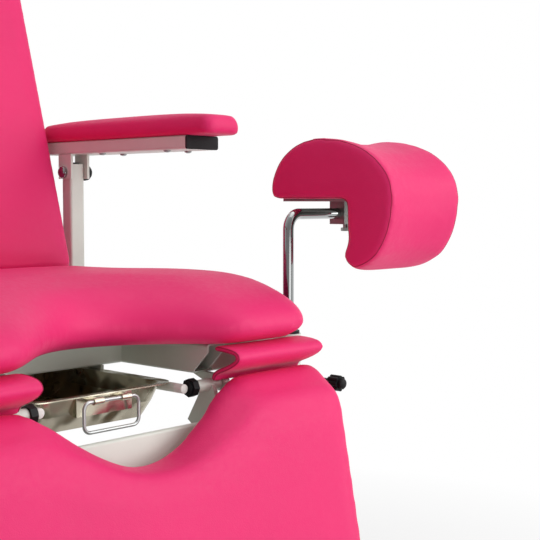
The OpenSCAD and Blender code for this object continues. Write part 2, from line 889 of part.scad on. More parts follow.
// Places of the screws that hold the pad on the tube
function arm_screw_places() = [
    for (x = [-1, 1]) for (k = [0, 1])
        [arm_x + x * arm_screw_gap / 2, -arm_front + arm_screw_first + k * arm_screw_step]
];

// Black end plug and the screws that hold the pad
module armrest_plug(side) {
    insert = 18;
    shank_d = arm_screw_d / 2;
    color(black) in_row() on_side(side) {
        translate([arm_x, -arm_front, arm_bottom + arm_tube_h / 2]) rotate([-90, 0, 0]) {
            linear_extrude(arm_plug_t) round_rect(arm_tube_w, arm_tube_h, tube_r);
            linear_extrude(insert) round_rect(
                arm_tube_w - 2 * arm_wall, arm_tube_h - 2 * arm_wall, tube_r - arm_wall
            );
        }
        for (p = arm_screw_places()) translate([p[0], p[1], arm_bottom]) {
            cylinder(h = arm_tube_h + arm_board_t / 2, d = shank_d);
            rotate([180, 0, 0]) rotate_extrude() dome(arm_screw_d, arm_screw_h);
        }
    }
}

// Pivot bolt with a domed head on the inner side and a clamping knob on the outer
module armrest_bolt(side) {
    cheek_x = arm_x - arm_tube_w / 2;
    span = 2 * arm_cheek_t + arm_post_w + 2 * arm_cheek_gap;
    color(steel) in_row() on_side(side)
        translate([cheek_x, arm_pivot_y, arm_pivot_z]) rotate([0, 90, 0]) {
            cylinder(h = span, d = arm_bolt_d);
            rotate([180, 0, 0]) rotate_extrude() dome(arm_dome_d, arm_dome_h);
            translate([0, 0, span]) rotate_extrude() dome(arm_knob_d, arm_knob_len);
        }
}

// Half section of a domed head, flat side on the axis start
module dome(d, h) {
    edge_share = 0.45;
    steps = 6;
    polygon(concat(
        [[0, 0], [d / 2, 0]],
        [
            for (i = [0 : steps]) let (a = 90 * i / steps)
                [d / 2 * cos(a), h * (edge_share + (1 - edge_share) * sin(a))]
        ]
    ));
}

// Armrest pad outline, round at the front
function arm_outline(inset) = outline(
    arm_pad_w - 2 * inset, -arm_front - arm_pad_over + inset, arm_rear - inset,
    arm_pad_w / 4 - inset / 2, arm_pad_w / 5 - inset / 2, arm_pad_w, 0
);

module armrest_pad(side) {
    roll = 8;
    crown = 5;
    under = 4;
    mid_y = (arm_rear - arm_front) / 2;
    hole_r = arm_screw_d / 4 + face_gap;
    color(vinyl) in_row() on_side(side) translate([arm_x, 0, arm_top]) difference() {
        cushion(
            arm_outline(under), eased(arm_outline(0), arm_outline(roll)),
            arm_pad_t, crown, [0, mid_y]
        );
        for (p = arm_screw_places())
            translate([p[0] - arm_x, p[1], -over])
                cylinder(h = arm_board_t / 2 + 2 * over, r = hole_r, $fn = 16);
    }
}

// Socket on an outrigger from the rail, with a cross hole for the clamping stud
module knee_holder(side) {
    rail_side = rail_gap / 2 + rail_w;
    foot = holder_top - holder_h;
    arm_z = rail_bottom + holder_arm_h / 2;
    stud_z = foot + knob_stud_rise;
    color(paint) in_row() on_side(side) difference() {
        union() {
            translate([rail_side, -knee_y, arm_z])
                tube_x(holder_arm_d, holder_arm_h, knee_x - rail_side, tube_wall, tube_r);
            translate([knee_x, -knee_y, foot]) cylinder(h = holder_h, r = holder_r);
        }
        translate([knee_x, -knee_y, foot - over])
            cylinder(h = holder_h + 2 * over, r = bush_r + running_gap);
        translate([knee_x, -knee_y, stud_z]) rotate([90, 0, 0])
            cylinder(h = holder_r + over, r = knob_stud_d / 2 + running_gap);
    }
}

// Plain bush that turns in the socket and lets the rod slide
module knee_bush(side) {
    foot = holder_top - holder_h;
    color(black) in_row() on_side(side) translate([knee_x, -knee_y, foot])
        rotate_extrude() {
            translate([knee_rod_r + running_gap, 0])
                square([bush_wall - running_gap, holder_h + face_gap]);
            translate([knee_rod_r + running_gap, holder_h + face_gap])
                square([bush_wall + bush_flange_w, bush_flange]);
        }
}

// Bent chrome rod: upright in the bush, arm out to the pad
module knee_rod(side) {
    foot = holder_top - holder_h - knee_tail;
    bend_z = knee_arm_z - knee_bend_r;
    color(steel) in_row() on_side(side) translate([knee_x, -knee_y, 0]) {
        translate([0, 0, foot]) cylinder(h = bend_z - foot, r = knee_rod_r);
        translate([knee_bend_r, 0, bend_z]) rotate([90, 0, 0]) rotate([0, 0, 90])
            rotate_extrude(angle = 90) translate([knee_bend_r, 0]) circle(r = knee_rod_r);
        translate([knee_bend_r, 0, knee_arm_z]) rotate([0, 90, 0])
            cylinder(h = knee_arm_len - knee_bend_r, r = knee_rod_r);
    }
}

// Clamp block round the arm, its bolt and nut, and the angle plate that bears the pad
module knee_clamp(side) {
    plate_len = pad_len - 2 * clamp_plate_in;
    under = pad_lift - clamp_plate_t;
    lip = pad_lip * 0.62;
    wall_y = pad_depth - pad_rear - pad_lip_t;
    bolt_y = knee_rod_r + clamp_bolt_d / 2 + 1;
    head_h = 5;
    color(steel) in_row() on_side(side) translate([0, -knee_y, knee_arm_z]) {
        difference() {
            union() {
                translate([clamp_x - clamp_w / 2, -clamp_d / 2, -clamp_down])
                    cube([clamp_w, clamp_d, clamp_down + under]);
                translate([pad_x + clamp_plate_in, 0, 0]) rotate([90, 0, 90])
                    linear_extrude(plate_len) polygon([
                        [-wall_y, pad_lift - lip], [-wall_y + clamp_plate_t, pad_lift - lip],
                        [-wall_y + clamp_plate_t, under - clamp_plate_t],
                        [-wall_y + 2 * clamp_plate_t, under],
                        [pad_rear - clamp_plate_in, under], [pad_rear - clamp_plate_in, pad_lift],
                        [-wall_y + pad_corner, pad_lift], [-wall_y, pad_lift - pad_corner]
                    ]);
            }
            translate([clamp_x - clamp_w, 0, 0]) rotate([0, 90, 0])
                cylinder(h = 2 * clamp_w, r = knee_rod_r + running_gap);
        }
        translate([clamp_x - clamp_w / 4, -bolt_y, -clamp_down - 2 * head_h]) {
            cylinder(h = head_h, d = 1.8 * clamp_bolt_d, $fn = 6);
            cylinder(h = 2 * head_h, d = clamp_bolt_d);
        }
    }
}

// Points over the outside of the knee pad, from its rear edge to its front lip
function pad_outer() = let (
    rear = pad_rear, front = pad_rear - pad_depth, top = pad_lift + pad_top_t,
    low = pad_lift - pad_lip, waist_z = pad_lift + 5, ridge_y = rear - pad_depth * 0.4,
    lip_y = front + pad_lip_t * 0.82
) concat(
    [[rear - 13, pad_lift], [rear - 4, pad_lift + 3]],
    [
        for (i = [0 : 5]) let (a = 15 * i)
            [ridge_y + (rear - ridge_y) * cos(a), waist_z + 7 + (top - waist_z - 7) * sin(a)]
    ],
    [
        for (i = [0 : 5]) let (a = 15 * i)
            [ridge_y + (front - ridge_y) * sin(a), waist_z + (top - waist_z) * cos(a)]
    ],
    [
        for (i = [0 : 6]) let (a = 15 * i)
            [lip_y + (front - lip_y) * cos(a), waist_z + (low - waist_z) * sin(a)]
    ]
);

// Points along the hollow of the knee pad that match the outside ones
function pad_inner() = let (
    wall_y = pad_rear - pad_depth + pad_lip_t, corner = pad_corner, low = pad_lift - pad_lip,
    first = pad_rear - 19, n = len(pad_outer()), half = floor(n / 2)
) concat(
    run([first, pad_lift], [wall_y + corner, pad_lift], half),
    [[wall_y + corner, pad_lift], [wall_y, pad_lift - corner]],
    [
        for (i = [1 : n - half - 2]) let (s = i / (n - half - 2))
            [wall_y - 3 * s * s, pad_lift - corner - (pad_lip - 14 - corner) * s]
    ]
);

// Saddle-shaped pad: the outside dips by the saddle depth at the middle of its length
module knee_pad_form() {
    outer = pad_outer();
    inner = pad_inner();
    n = len(outer);
    edge = 3;
    // Station along the pad as a share of half its length, then its edge inset share
    stations = [
        [-1, 1], [-0.975, 0.3], [-0.93, 0], [-0.6, 0], [-0.25, 0],
        [0.25, 0], [0.6, 0], [0.93, 0], [0.975, 0.3], [1, 1]
    ];
    hub = [pad_rear - pad_depth * 0.5, pad_lift];
    function shrink(i, s) = let (
        ends = min(i, n - 1 - i) / 3, w = min(1, ends),
        depth = pad_saddle * (1 - s[0] * s[0]) * w + edge * s[1] * (0.4 + 0.6 * w),
        d = hub - outer[i]
    ) outer[i] + d / norm(d) * depth;
    function station(s) = concat(
        [for (i = [0 : n - 1]) shrink(i, s)], [for (i = [n - 1 : -1 : 0]) inner[i]]
    );
    m = len(stations);
    loops = 2 * n;
    points = [
        for (s = stations) for (p = station(s))
            [pad_len / 2 * (1 + s[0]), p[0], p[1]]
    ];
    skin = [
        for (k = [0 : m - 2]) for (i = [0 : loops - 1])
            let (a = k * loops + i, b = k * loops + (i + 1) % loops)
                for (t = [[a, a + loops, b], [b, a + loops, b + loops]]) t
    ];
    ends = [
        for (i = [0 : n - 2]) let (e = (m - 1) * loops, j = loops - 1 - i)
            for (t = [
                [i, i + 1, j], [i + 1, j - 1, j],
                [e + i + 1, e + i, e + j], [e + i + 1, e + j, e + j - 1]
            ]) t
    ];
    polyhedron(points = points, faces = concat(skin, ends));
}

module knee_pad(side) {
    color(vinyl) in_row() on_side(side) translate([pad_x, -knee_y, knee_arm_z]) knee_pad_form();
}

// Clamping knob: stud in the socket and an eight-lobed grip with a domed end
module knee_knob(side) {
    stud_z = holder_top - holder_h + knob_stud_rise;
    tip = bush_r + face_gap + running_gap;
    lobe_r = knob_d * 0.16;
    color(black) in_row() on_side(side) translate([knee_x, -knee_y - tip, stud_z])
        rotate([90, 0, 0]) {
            cylinder(h = holder_r - tip + knob_stud_out, d = knob_stud_d);
            translate([0, 0, holder_r - tip + knob_stud_out]) {
                linear_extrude(knob_len * 0.7) union() {
                    circle(r = knob_d / 2 - lobe_r * 0.6);
                    for (i = [0 : knob_lobes - 1]) rotate(360 / knob_lobes * i)
                        translate([knob_d / 2 - lobe_r, 0]) circle(r = lobe_r);
                }
                translate([0, 0, knob_len * 0.7])
                    rotate_extrude() dome(knob_d - 2 * lobe_r, knob_len * 0.3);
            }
        }
}

// Round rods beside the tray, hung from the middle crossbar
module tray_rods() {
    x = tray_rod_gap / 2;
    rear_y = column_y - column_d / 2 - tray_rod_past;
    len = tray_rod_front - tray_cap_len + rear_y;
    hang_x = x + tray_rod_d / 2 - tray_hanger_t / 4;
    color(paint) in_row() for (side = ["left", "right"]) on_side(side) {
        translate([x, -tray_rod_front + tray_cap_len, tray_rod_z]) rotate([-90, 0, 0])
            cylinder(h = len, d = tray_rod_d);
        translate([hang_x, -crossbar_y, tray_rod_z - tray_rod_d / 2])
            cube([tray_hanger_t, crossbar_d, rail_bottom - tray_rod_z + tray_rod_d / 2]);
    }
}

// White caps on the front ends of the tray rods
module rod_caps() {
    x = tray_rod_gap / 2;
    color(paint) in_row() for (side = ["left", "right"]) on_side(side)
        translate([x, -tray_rod_front + tray_cap_len, tray_rod_z]) rotate([90, 0, 0]) {
            cylinder(h = tray_cap_len, d = tray_rod_d);
            translate([0, 0, tray_cap_len]) rotate_extrude() dome(tray_rod_d, tray_cap_out);
        }
}

module tray_slab(w, y0, y1, z, t, r) {
    translate([0, (y0 + y1) / 2, z]) linear_extrude(t) round_rect(w, y1 - y0, r);
}

// Pressed steel tray: tapered walls, rounded corners, flat rim that rides on the rods
module tray_pan() {
    y0 = -tray_front + tray_rim_front;
    y1 = -tray_front + tray_len - tray_rim_front;
    body_w = tray_w - 2 * tray_rim_w;
    deep = tray_h - tray_wall;
    module hollow(grow, floor_z) {
        hull() {
            tray_slab(body_w + 2 * grow, y0 - grow, y1 + grow, tray_rim_z, tray_wall,
                tray_corner, $fn = 32);
            tray_slab(body_w - tray_taper + 2 * grow, y0 - grow + tray_taper / 2,
                y1 + grow - tray_taper / 2, tray_rim_z - deep / 2, tray_wall, tray_corner, $fn = 32);
            tray_slab(body_w - tray_taper - 2 * tray_under_corner + 2 * grow,
                y0 - grow + tray_taper / 2 + tray_under_corner,
                y1 + grow - tray_taper / 2 - tray_under_corner, floor_z, tray_wall,
                tray_under_corner, $fn = 32);
        }
    }
    color(steel) in_row() {
        difference() {
            union() {
                tray_slab(tray_w, -tray_front, -tray_front + tray_len, tray_rim_z, tray_wall,
                    tray_rim_corner);
                hollow(0, tray_rim_z - deep);
            }
            translate([0, 0, tray_wall + face_gap / 10]) hollow(-tray_wall, tray_rim_z - deep);
        }
        translate([-tray_plate_w / 2, y0 - tray_wall, tray_rim_z - tray_plate_h])
            cube([tray_plate_w, tray_wall + tray_taper / 2, tray_plate_h]);
        for (x = [-1, 1]) translate([x * bail_w / 4 - ear_w / 2, 0, bail_top_z()])
            difference() {
                union() {
                    translate([0, bail_y(), 0]) rotate([0, 90, 0])
                        cylinder(h = ear_w, r = bail_wire / 2 + ear_wall);
                    translate([0, bail_y(), -ear_wall])
                        cube([ear_w, y0 - bail_y(), 2 * ear_wall]);
                }
                translate([-over, bail_y(), 0]) rotate([0, 90, 0])
                    cylinder(h = ear_w + 2 * over, r = bail_wire / 2 + running_gap);
            }
    }
}

function bail_y() = -tray_front + tray_rim_front - bail_out;
function bail_top_z() = tray_rim_z - bail_wire / 2 - ear_wall - over;

// Closed wire bail that hangs in the ears of the tray
module tray_handle() {
    r = bail_wire / 2;
    color(steel) in_row() translate([0, bail_y(), bail_top_z()]) rotate([90, 0, 0]) {
        for (y = [0, -bail_h]) translate([-bail_w / 2 + bail_corner, y, 0]) rotate([0, 90, 0])
            cylinder(h = bail_w - 2 * bail_corner, r = r);
        for (x = [-1, 1]) translate([x * bail_w / 2, -bail_corner, 0]) rotate([90, 0, 0])
            cylinder(h = bail_h - 2 * bail_corner, r = r);
        for (c = [[1, 0, 0], [-1, 0, 90], [-1, 1, 180], [1, 1, 270]])
            translate([
                c[0] * (bail_w / 2 - bail_corner), -bail_corner - c[1] * (bail_h - 2 * bail_corner), 0
            ])
                rotate([0, 0, c[2]]) rotate_extrude(angle = 90)
                    translate([bail_corner, 0]) circle(r = r);
    }
}

// Welded H base with the plate that the column stands on
module base_frame() {
    cross_d = base_beam_w;
    cross_y = [column_y - column_d / 2, column_y + column_d / 2];
    inner_w = base_gap - base_beam_w;
    color(paint) in_row() {
        for (x = [-1, 1]) translate([x * base_gap / 2, base_front_y, base_lift + base_beam_h / 2])
            tube_y(base_beam_w, base_beam_h, base_len, tube_wall, tube_r);
        for (y = cross_y)
            translate([-inner_w / 2, y, base_lift + base_beam_h / 2])
                tube_x(cross_d, base_beam_h, inner_w, tube_wall, tube_r);
        translate([0, column_y, base_top]) linear_extrude(base_plate_t)
            round_rect(column_w + base_beam_w, column_d + base_beam_w, 2 * tube_r);
    }
}

module base_end_caps() {
    color(black) in_row() for (x = [-1, 1], end = [0, 1])
        translate([x * base_gap / 2, base_front_y + end * base_len, base_lift + base_beam_h / 2])
            rotate([end ? -90 : 90, 0, 0]) {
                linear_extrude(cap_wall) round_rect(base_beam_w, base_beam_h, tube_r);
                translate([0, 0, -3 * cap_wall]) linear_extrude(3 * cap_wall)
                    round_rect(base_beam_w - 2 * tube_wall, base_beam_h - 2 * tube_wall,
                        tube_r - tube_wall);
            }
}

// Levelling feet under the ends of the base beams
module levelling_feet() {
    lip = 3;
    color(black) in_row() for (x = [-1, 1], y = [foot_in + foot_d / 2, base_len - foot_in - foot_d / 2])
        translate([x * base_gap / 2, base_front_y + y, 0]) rotate_extrude() polygon([
            [0, 0], [foot_d / 2 - lip, 0], [foot_d / 2, lip], [foot_d / 2, foot_t - lip],
            [foot_d / 2 - lip, foot_t], [foot_stem_d / 2, foot_t + lip],
            [foot_stem_d / 2, base_lift], [0, base_lift]
        ]);
}

// One stage of the lifting column
module column_stage(k, foot, top) {
    shrink = 2 * k * column_step;
    color(paint) in_row() translate([0, column_y, foot])
        tube_z(column_w - shrink, column_d - shrink, top - foot, column_wall, 3 * tube_r);
}

module column_outer() {
    column_stage(0, column_foot, column_outer_top);
}

module column_middle() {
    column_stage(1, column_mid_foot, column_outer_top + column_mid_up);
}

module column_inner() {
    column_stage(2, column_inner_foot, column_head_z);
}

// Four slide pads inside the mouth of a column stage
module column_guides(k, top) {
    shrink = 2 * k * column_step;
    pad_t = column_space - face_gap;
    w = column_w - shrink - 2 * column_wall;
    d = column_d - shrink - 2 * column_wall;
    color(black) in_row() translate([0, column_y, top - guide_h]) for (s = [-1, 1]) {
        translate([s * (w - pad_t) / 2 - pad_t / 2, -guide_w / 2, 0])
            cube([pad_t, guide_w, guide_h]);
        translate([-guide_w / 2, s * (d - pad_t) / 2 - pad_t / 2, 0])
            cube([guide_w, pad_t, guide_h]);
    }
}

// Top plate of the column, under both rails
module column_head() {
    bolt_d = 9;
    bolt_in = 22;
    notch_d = 56;
    w = rail_gap + 2 * rail_w;
    color(paint) in_row() translate([0, column_y, column_head_z]) difference() {
        linear_extrude(column_head_t) round_rect(w, column_d, 2 * tube_r);
        for (x = [-1, 1], y = [-1, 1])
            translate([x * (w / 2 - rail_w / 2), y * (column_d / 2 - bolt_in), -over])
                cylinder(h = column_head_t + 2 * over, d = bolt_d);
        translate([-act_x + act_pin_side - lever_t / 2 - slot_gap, column_d / 2 - notch_d, -over])
            cube([lever_t + 2 * slot_gap, notch_d + over, column_head_t + 2 * over]);
    }
}

module lift_cylinder() {
    color(steel) in_row() translate([0, column_y, column_foot]) difference() {
        cylinder(h = cylinder_top - column_foot, d = ram_d + 2 * cylinder_wall);
        translate([0, 0, cylinder_wall])
            cylinder(h = cylinder_top - column_foot, r = ram_d / 2 + running_gap);
    }
}

module lift_ram() {
    color(steel) in_row() translate([0, column_y, ram_foot])
        cylinder(h = column_head_z - ram_foot, d = ram_d);
}

// Control and power box on the rear face of the column
module control_box() {
    r = 8;
    color(black) in_row() translate([0, column_y + column_d / 2, column_foot + box_lift])
        difference() {
            translate([0, 0, box_h / 2]) rotate([-90, 0, 0]) linear_extrude(box_d)
                round_rect(box_w, box_h, r);
            translate([-inlet_w / 2, box_d - inlet_d, box_h / 2 - inlet_h / 2])
                cube([inlet_w, inlet_d + over, inlet_h]);
        }
}

// Mains inlet socket with three blades in the rear of the control box
module mains_inlet() {
    wall = 4;
    blade = [2, 8, 6];
    blade_gap = 14;
    color(black) in_row()
        translate([0, column_y + column_d / 2 + box_d - inlet_d, column_foot + box_lift + box_h / 2]) {
            difference() {
                translate([-inlet_w / 2, 0, -inlet_h / 2]) cube([inlet_w, inlet_d, inlet_h]);
                translate([-inlet_w / 2 + wall, wall, -inlet_h / 2 + wall])
                    cube([inlet_w - 2 * wall, inlet_d, inlet_h - 2 * wall]);
            }
            for (k = [-1 : 1])
                translate([k * blade_gap / 1.5 - blade[0] / 2, wall, -blade[2] / 2 + (k == 0 ? wall : 0)])
                    cube(blade);
        }
}

// Plate under the rail that carries both actuators
module actuator_hanger() {
    foot = leg_pin_z() - act_block_h / 2;
    reach = rail_gap / 2 - act_x - act_r;
    color(paint) in_row() translate([-rail_gap / 2, -act_mount_y, foot]) {
        cube([hanger_t, hanger_w, rail_bottom - foot]);
        for (z = [leg_pin_z(), back_pin_z()]) translate([0, hanger_w / 2, z - foot])
            rotate([0, 90, 0]) cylinder(h = reach, d = act_r);
        translate([-tube_wall, 0, rail_bottom - foot - tube_wall])
            cube([hanger_t + tube_wall, hanger_w, tube_wall]);
    }
}

function back_pin_z() = back_hinge_z - back_lever;
function leg_pin_z() = leg_hinge_z - leg_lever;
function back_pin_y() = back_hinge_y + back_lever * tan(back_throw);
function leg_pin_y() = -leg_hinge_y + leg_lever * tan(leg_throw);

// Linear actuator along Y from y0 to y1, its rod's bore open at the y1 end
module actuator(y0, y1, z) {
    flip = y1 > y0 ? 1 : -1;
    len = abs(y1 - y0);
    block_y = -act_mount_y - act_block_past;
    translate([-act_x, 0, z]) difference() {
        union() {
            translate([0, y0, 0]) rotate([-flip * 90, 0, 0]) cylinder(h = len, r = act_r);
            translate([-act_r, block_y, -act_block_h / 2])
                cube([2 * act_r, act_block_l, act_block_h]);
        }
        translate([0, y0 + flip * act_end, 0]) rotate([-flip * 90, 0, 0])
            cylinder(h = len, r = act_rod_d / 2 + running_gap);
    }
}

module back_actuator() {
    throw_y = back_lever * tan(back_throw);
    color(black) in_row() actuator(
        -act_mount_y - act_block_past, back_hinge_y - throw_y - act_clear, back_pin_z()
    );
}

module legrest_actuator() {
    color(black) in_row() actuator(
        column_y - column_d / 2, leg_pin_y() + act_clear, leg_pin_z()
    );
}

// Rod with an eye end and a side pin for the lever's slot; dir is the way it comes out
module actuator_rod(pin_y, z, tail, dir) {
    eye = act_rod_d + 2;
    color(steel) in_row() translate([-act_x, pin_y, z]) {
        rotate([dir > 0 ? 90 : -90, 0, 0]) cylinder(h = tail, d = act_rod_d);
        rotate([0, 90, 0]) translate([0, 0, -eye / 2]) cylinder(h = eye, d = eye);
        rotate([0, 90, 0]) cylinder(h = act_pin_side + lever_t, d = act_pin_d);
    }
}

module back_actuator_rod() {
    throw_y = back_lever * tan(back_throw);
    actuator_rod(back_pin_y(), back_pin_z(), 2 * throw_y + 5 * act_rod_d / 2, 1);
}

module legrest_actuator_rod() {
    throw_y = leg_lever * tan(leg_throw);
    actuator_rod(leg_pin_y(), leg_pin_z(), 2 * throw_y + 5 * act_rod_d / 2, -1);
}

base_frame();
base_end_caps();
levelling_feet();
column_outer();
column_guides(0, column_outer_top);  // column_guides_outer
lift_cylinder();
control_box();
mains_inlet();
column_middle();
column_guides(1, column_outer_top + column_mid_up);  // column_guides_inner
column_inner();
column_head();
lift_ram();
seat_rail("left");  // seat_rail_left
seat_rail("right");  // seat_rail_right
seat_crossbars();
seat_board();
seat_cushion();
armrest_post("left");  // armrest_post_left
armrest_post("right");  // armrest_post_right
knee_holder("left");  // knee_holder_left
knee_holder("right");  // knee_holder_right
tray_rods();
rod_caps();
legrest_hinge_pins();
hinge_cap_nuts();
actuator_hanger();
back_actuator();
legrest_actuator();
flap("left");  // flap_left
flap("right");  // flap_right
back_torque_tube();
back_frame();
back_board();
back_cushion();
legrest_frame();
legrest_board();
legrest_cushion();
armrest_tube("left");  // armrest_tube_left
armrest_tube("right");  // armrest_tube_right
armrest_plug("left");  // armrest_plug_left
armrest_plug("right");  // armrest_plug_right
armrest_bolt("left");  // armrest_bolt_left
armrest_bolt("right");  // armrest_bolt_right
armrest_pad("left");  // armrest_pad_left
armrest_pad("right");  // armrest_pad_right
knee_bush("left");  // knee_bush_left
knee_bush("right");  // knee_bush_right
knee_rod("left");  // knee_rod_left
knee_rod("right");  // knee_rod_right
knee_clamp("left");  // knee_clamp_left
knee_clamp("right");  // knee_clamp_right
knee_pad("left");  // knee_pad_left
knee_pad("right");  // knee_pad_right
knee_knob("left");  // knee_knob_left
knee_knob("right");  // knee_knob_right
tray_pan();
tray_handle();
back_actuator_rod();
legrest_actuator_rod();
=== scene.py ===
"""Gynecological examination chair: upholstery, finishes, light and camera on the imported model.

Patient faces -Y, patient's left is +X, floor at Z = 0. Everything is in metres.
"""

import json
import math

import bmesh
import bpy
import numpy as np
from mathutils import Matrix, Vector


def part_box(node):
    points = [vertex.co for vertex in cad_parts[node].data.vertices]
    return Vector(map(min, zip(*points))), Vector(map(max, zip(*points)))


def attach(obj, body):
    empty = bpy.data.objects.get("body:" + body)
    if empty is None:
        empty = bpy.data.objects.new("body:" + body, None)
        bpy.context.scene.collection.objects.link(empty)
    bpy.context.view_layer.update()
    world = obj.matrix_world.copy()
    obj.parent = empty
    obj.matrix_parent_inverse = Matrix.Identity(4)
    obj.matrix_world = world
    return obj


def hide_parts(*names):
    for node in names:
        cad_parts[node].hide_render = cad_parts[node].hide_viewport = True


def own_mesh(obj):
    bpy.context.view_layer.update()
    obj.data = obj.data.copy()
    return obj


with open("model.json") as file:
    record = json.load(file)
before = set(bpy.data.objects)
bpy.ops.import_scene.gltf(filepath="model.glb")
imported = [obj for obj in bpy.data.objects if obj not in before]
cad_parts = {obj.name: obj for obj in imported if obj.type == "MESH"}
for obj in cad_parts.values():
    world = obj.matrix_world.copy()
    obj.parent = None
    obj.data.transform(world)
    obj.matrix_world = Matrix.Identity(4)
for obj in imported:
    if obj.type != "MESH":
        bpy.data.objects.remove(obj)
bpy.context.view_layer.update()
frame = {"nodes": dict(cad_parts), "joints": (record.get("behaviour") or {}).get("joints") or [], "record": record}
nodes = frame["nodes"]
body_of_node = {n: b for b, ns in frame["record"]["behaviour"]["bodies"].items() for n in ns}
joints = {j["name"]: j for j in frame["joints"]}
SIDES = ("left", "right")

# Measured on the photo, like the CAD's own values
BACK_LEAN = math.radians(16.3)
LEG_LEAN = math.radians(11)
CAMERA_TURN = math.radians(47.3)
CAMERA_DIP = math.radians(3.62)
CAMERA_PLACE = (-0.830, -1.2967, 0.746)
FOCAL_PIXELS = 1106
FRAME_PIXELS = 540
SENSOR_WIDTH = 36

# Finishes, as linear colours
PINK = (0.800, 0.021, 0.158)
SEAM_PINK = (0.450, 0.008, 0.070)
VINYL_SHEEN = (1.0, 0.62, 0.78)
PAINT = (0.68, 0.725, 0.655)
CHROME = (0.78, 0.80, 0.80)
# Tray steel: a steel grey whose warm olive tone is painted reflection of the brown board under the seat
STAINLESS_PAINTED_REFLECTION = (0.56, 0.52, 0.41)
DULL_ZINC = (0.30, 0.31, 0.29)
BLACK = (0.006, 0.006, 0.007)
CAP_WHITE = (0.78, 0.78, 0.74)
BOX_GREY = (0.10, 0.105, 0.11)
PLY = (0.42, 0.27, 0.15)

# Heights of the textures pressed, sprayed or drawn into the surfaces
VINYL_GRAIN = 0.00012
VINYL_FOLD = 0.00010
VINYL_SWELL = 0.0028
PAINT_PEEL = 0.00006
METAL_SCRATCH = 0.00003
TRAY_DENT = 0.009
PLASTIC_SPARK = 0.00008

# Cushions: size of their even faces, and depth of the base that stays on its board
CUSHION_FACE = 0.006
SMALL_PAD_FACE = 0.004
FLAP_FACE = 0.0022
SEAT_HELD = 0.0105
BACK_HELD = 0.011
LEG_HELD = 0.002
LEG_TOP_PLAIN = 0.022
PAD_HELD = 0.001
KNEE_HELD_SIDE = 0.004

# Cushions: where the foam stands fuller than the CAD's plain solid
SEAT_FULL, SEAT_FULL_AT, SEAT_FULL_REACH = 0.007, 0.190, 0.140
SEAT_WRAP, SEAT_WRAP_SHARE = 0.002, 0.25
LEG_CORNER, LEG_CORNER_AT, LEG_CORNER_REACH, LEG_CORNER_DEEP = 0.008, 0.165, 0.045, 0.08
ARM_REAR_OVER = 0.010
KNEE_LIP_FULL, KNEE_LIP_BACK, KNEE_LIP_THICK = 0.006, 0.030, 0.042
KNEE_HOOK, KNEE_HOOK_AT, KNEE_HOOK_REACH = 0.010, 0.014, 0.015

# Cushions: half width and rounds of extra smoothing inside
SEAT_SOFT = (0.28, 30)
LEG_SOFT = (0.31, 18)

# Foam and cloth
WELD = 0.00001
JOIN_ANGLE = math.radians(35)
CREASE_ANGLE = math.radians(48)
SOFT_FADE = 0.05
CLOTH_FRAMES = 20
CLOTH_STRETCH, CLOTH_SHEAR, CLOTH_BEND = 25, 12, 6
SWELL_EVEN, LIFT_EVEN = 24, 5
SWELL_SHARE, SWELL_LEAST, SWELL_MOST = 0.4, 0.1, 0.6

# Seams of the knee pads, and piping and folding of the flaps
KNEE_SEAM, KNEE_SEAM_IN = 0.0007, 0.0020
PIPING, PIPING_IN, PIPING_STEP = 0.0009, 0.0016, 0.002

# Small turned pieces, as (radius, height) from their seat
KNOB = [
    (0.0118, 0.0), (0.0135, 0.0012), (0.0139, 0.0055), (0.0130, 0.0105),
    (0.0098, 0.0142), (0.0050, 0.0160), (0.0010, 0.0163),
]
POST_PLUG = [(0.0112, 0.0), (0.0118, 0.0006), (0.0118, 0.0018), (0.0108, 0.0028), (0.002, 0.0031)]
SCREW_HEAD = [(0.0057, 0.0), (0.0059, 0.0006), (0.0052, 0.0021), (0.0030, 0.0034), (0.0007, 0.0037)]
KNOB_OVERLAP = 0.0142
POST_HALF = 0.0145
PLUG_SUNK = 0.0002
SCREW_GAP, SCREW_STEP, SCREW_HALF, SCREW_SUNK = 0.044, 0.158, 0.0055, 0.0032


# Shader groups shared by the finishes

def group(name, inputs, outputs):
    """An empty group with its sockets; inputs are (label, value), outputs are labels."""
    tree = bpy.data.node_groups.new(name, "ShaderNodeTree")
    for label, value in inputs:
        kind = "NodeSocketVector" if isinstance(value, tuple) else "NodeSocketFloat"
        tree.interface.new_socket(label, in_out="INPUT", socket_type=kind).default_value = value
    for label in outputs:
        tree.interface.new_socket(label, in_out="OUTPUT", socket_type="NodeSocketFloat")
    return tree, tree.nodes.new("NodeGroupInput"), tree.nodes.new("NodeGroupOutput")


def add(tree, kind, links=(), operation=None, **values):
    """A node with its sockets set by name or linked."""
    node = tree.nodes.new(kind)
    if operation:
        node.operation = operation
    for key, value in values.items():
        node.inputs[key.replace("_", " ").title()].default_value = value
    for source, target in links:
        tree.links.new(source, node.inputs[target])
    return node


def maths(tree, operation, a, b, clamp=False):
    node = add(tree, "ShaderNodeMath", operation=operation)
    node.use_clamp = clamp
    for socket, value in zip(node.inputs, (a, b)):
        if isinstance(value, (int, float)):
            socket.default_value = value
        else:
            tree.links.new(value, socket)
    return node.outputs[0]


def ramp(tree, source, low, high, a=0.0, b=1.0):
    """Values from low to high spread out to a to b."""
    node = add(
        tree, "ShaderNodeMapRange", [(source, "Value")], from_min=low, from_max=high, to_min=a, to_max=b
    )
    return node.outputs["Result"]


def object_place(tree):
    return tree.nodes.new("ShaderNodeTexCoord").outputs["Object"]


def noise(tree, place, **values):
    return add(tree, "ShaderNodeTexNoise", [(place, "Vector")], **values).outputs["Fac"]


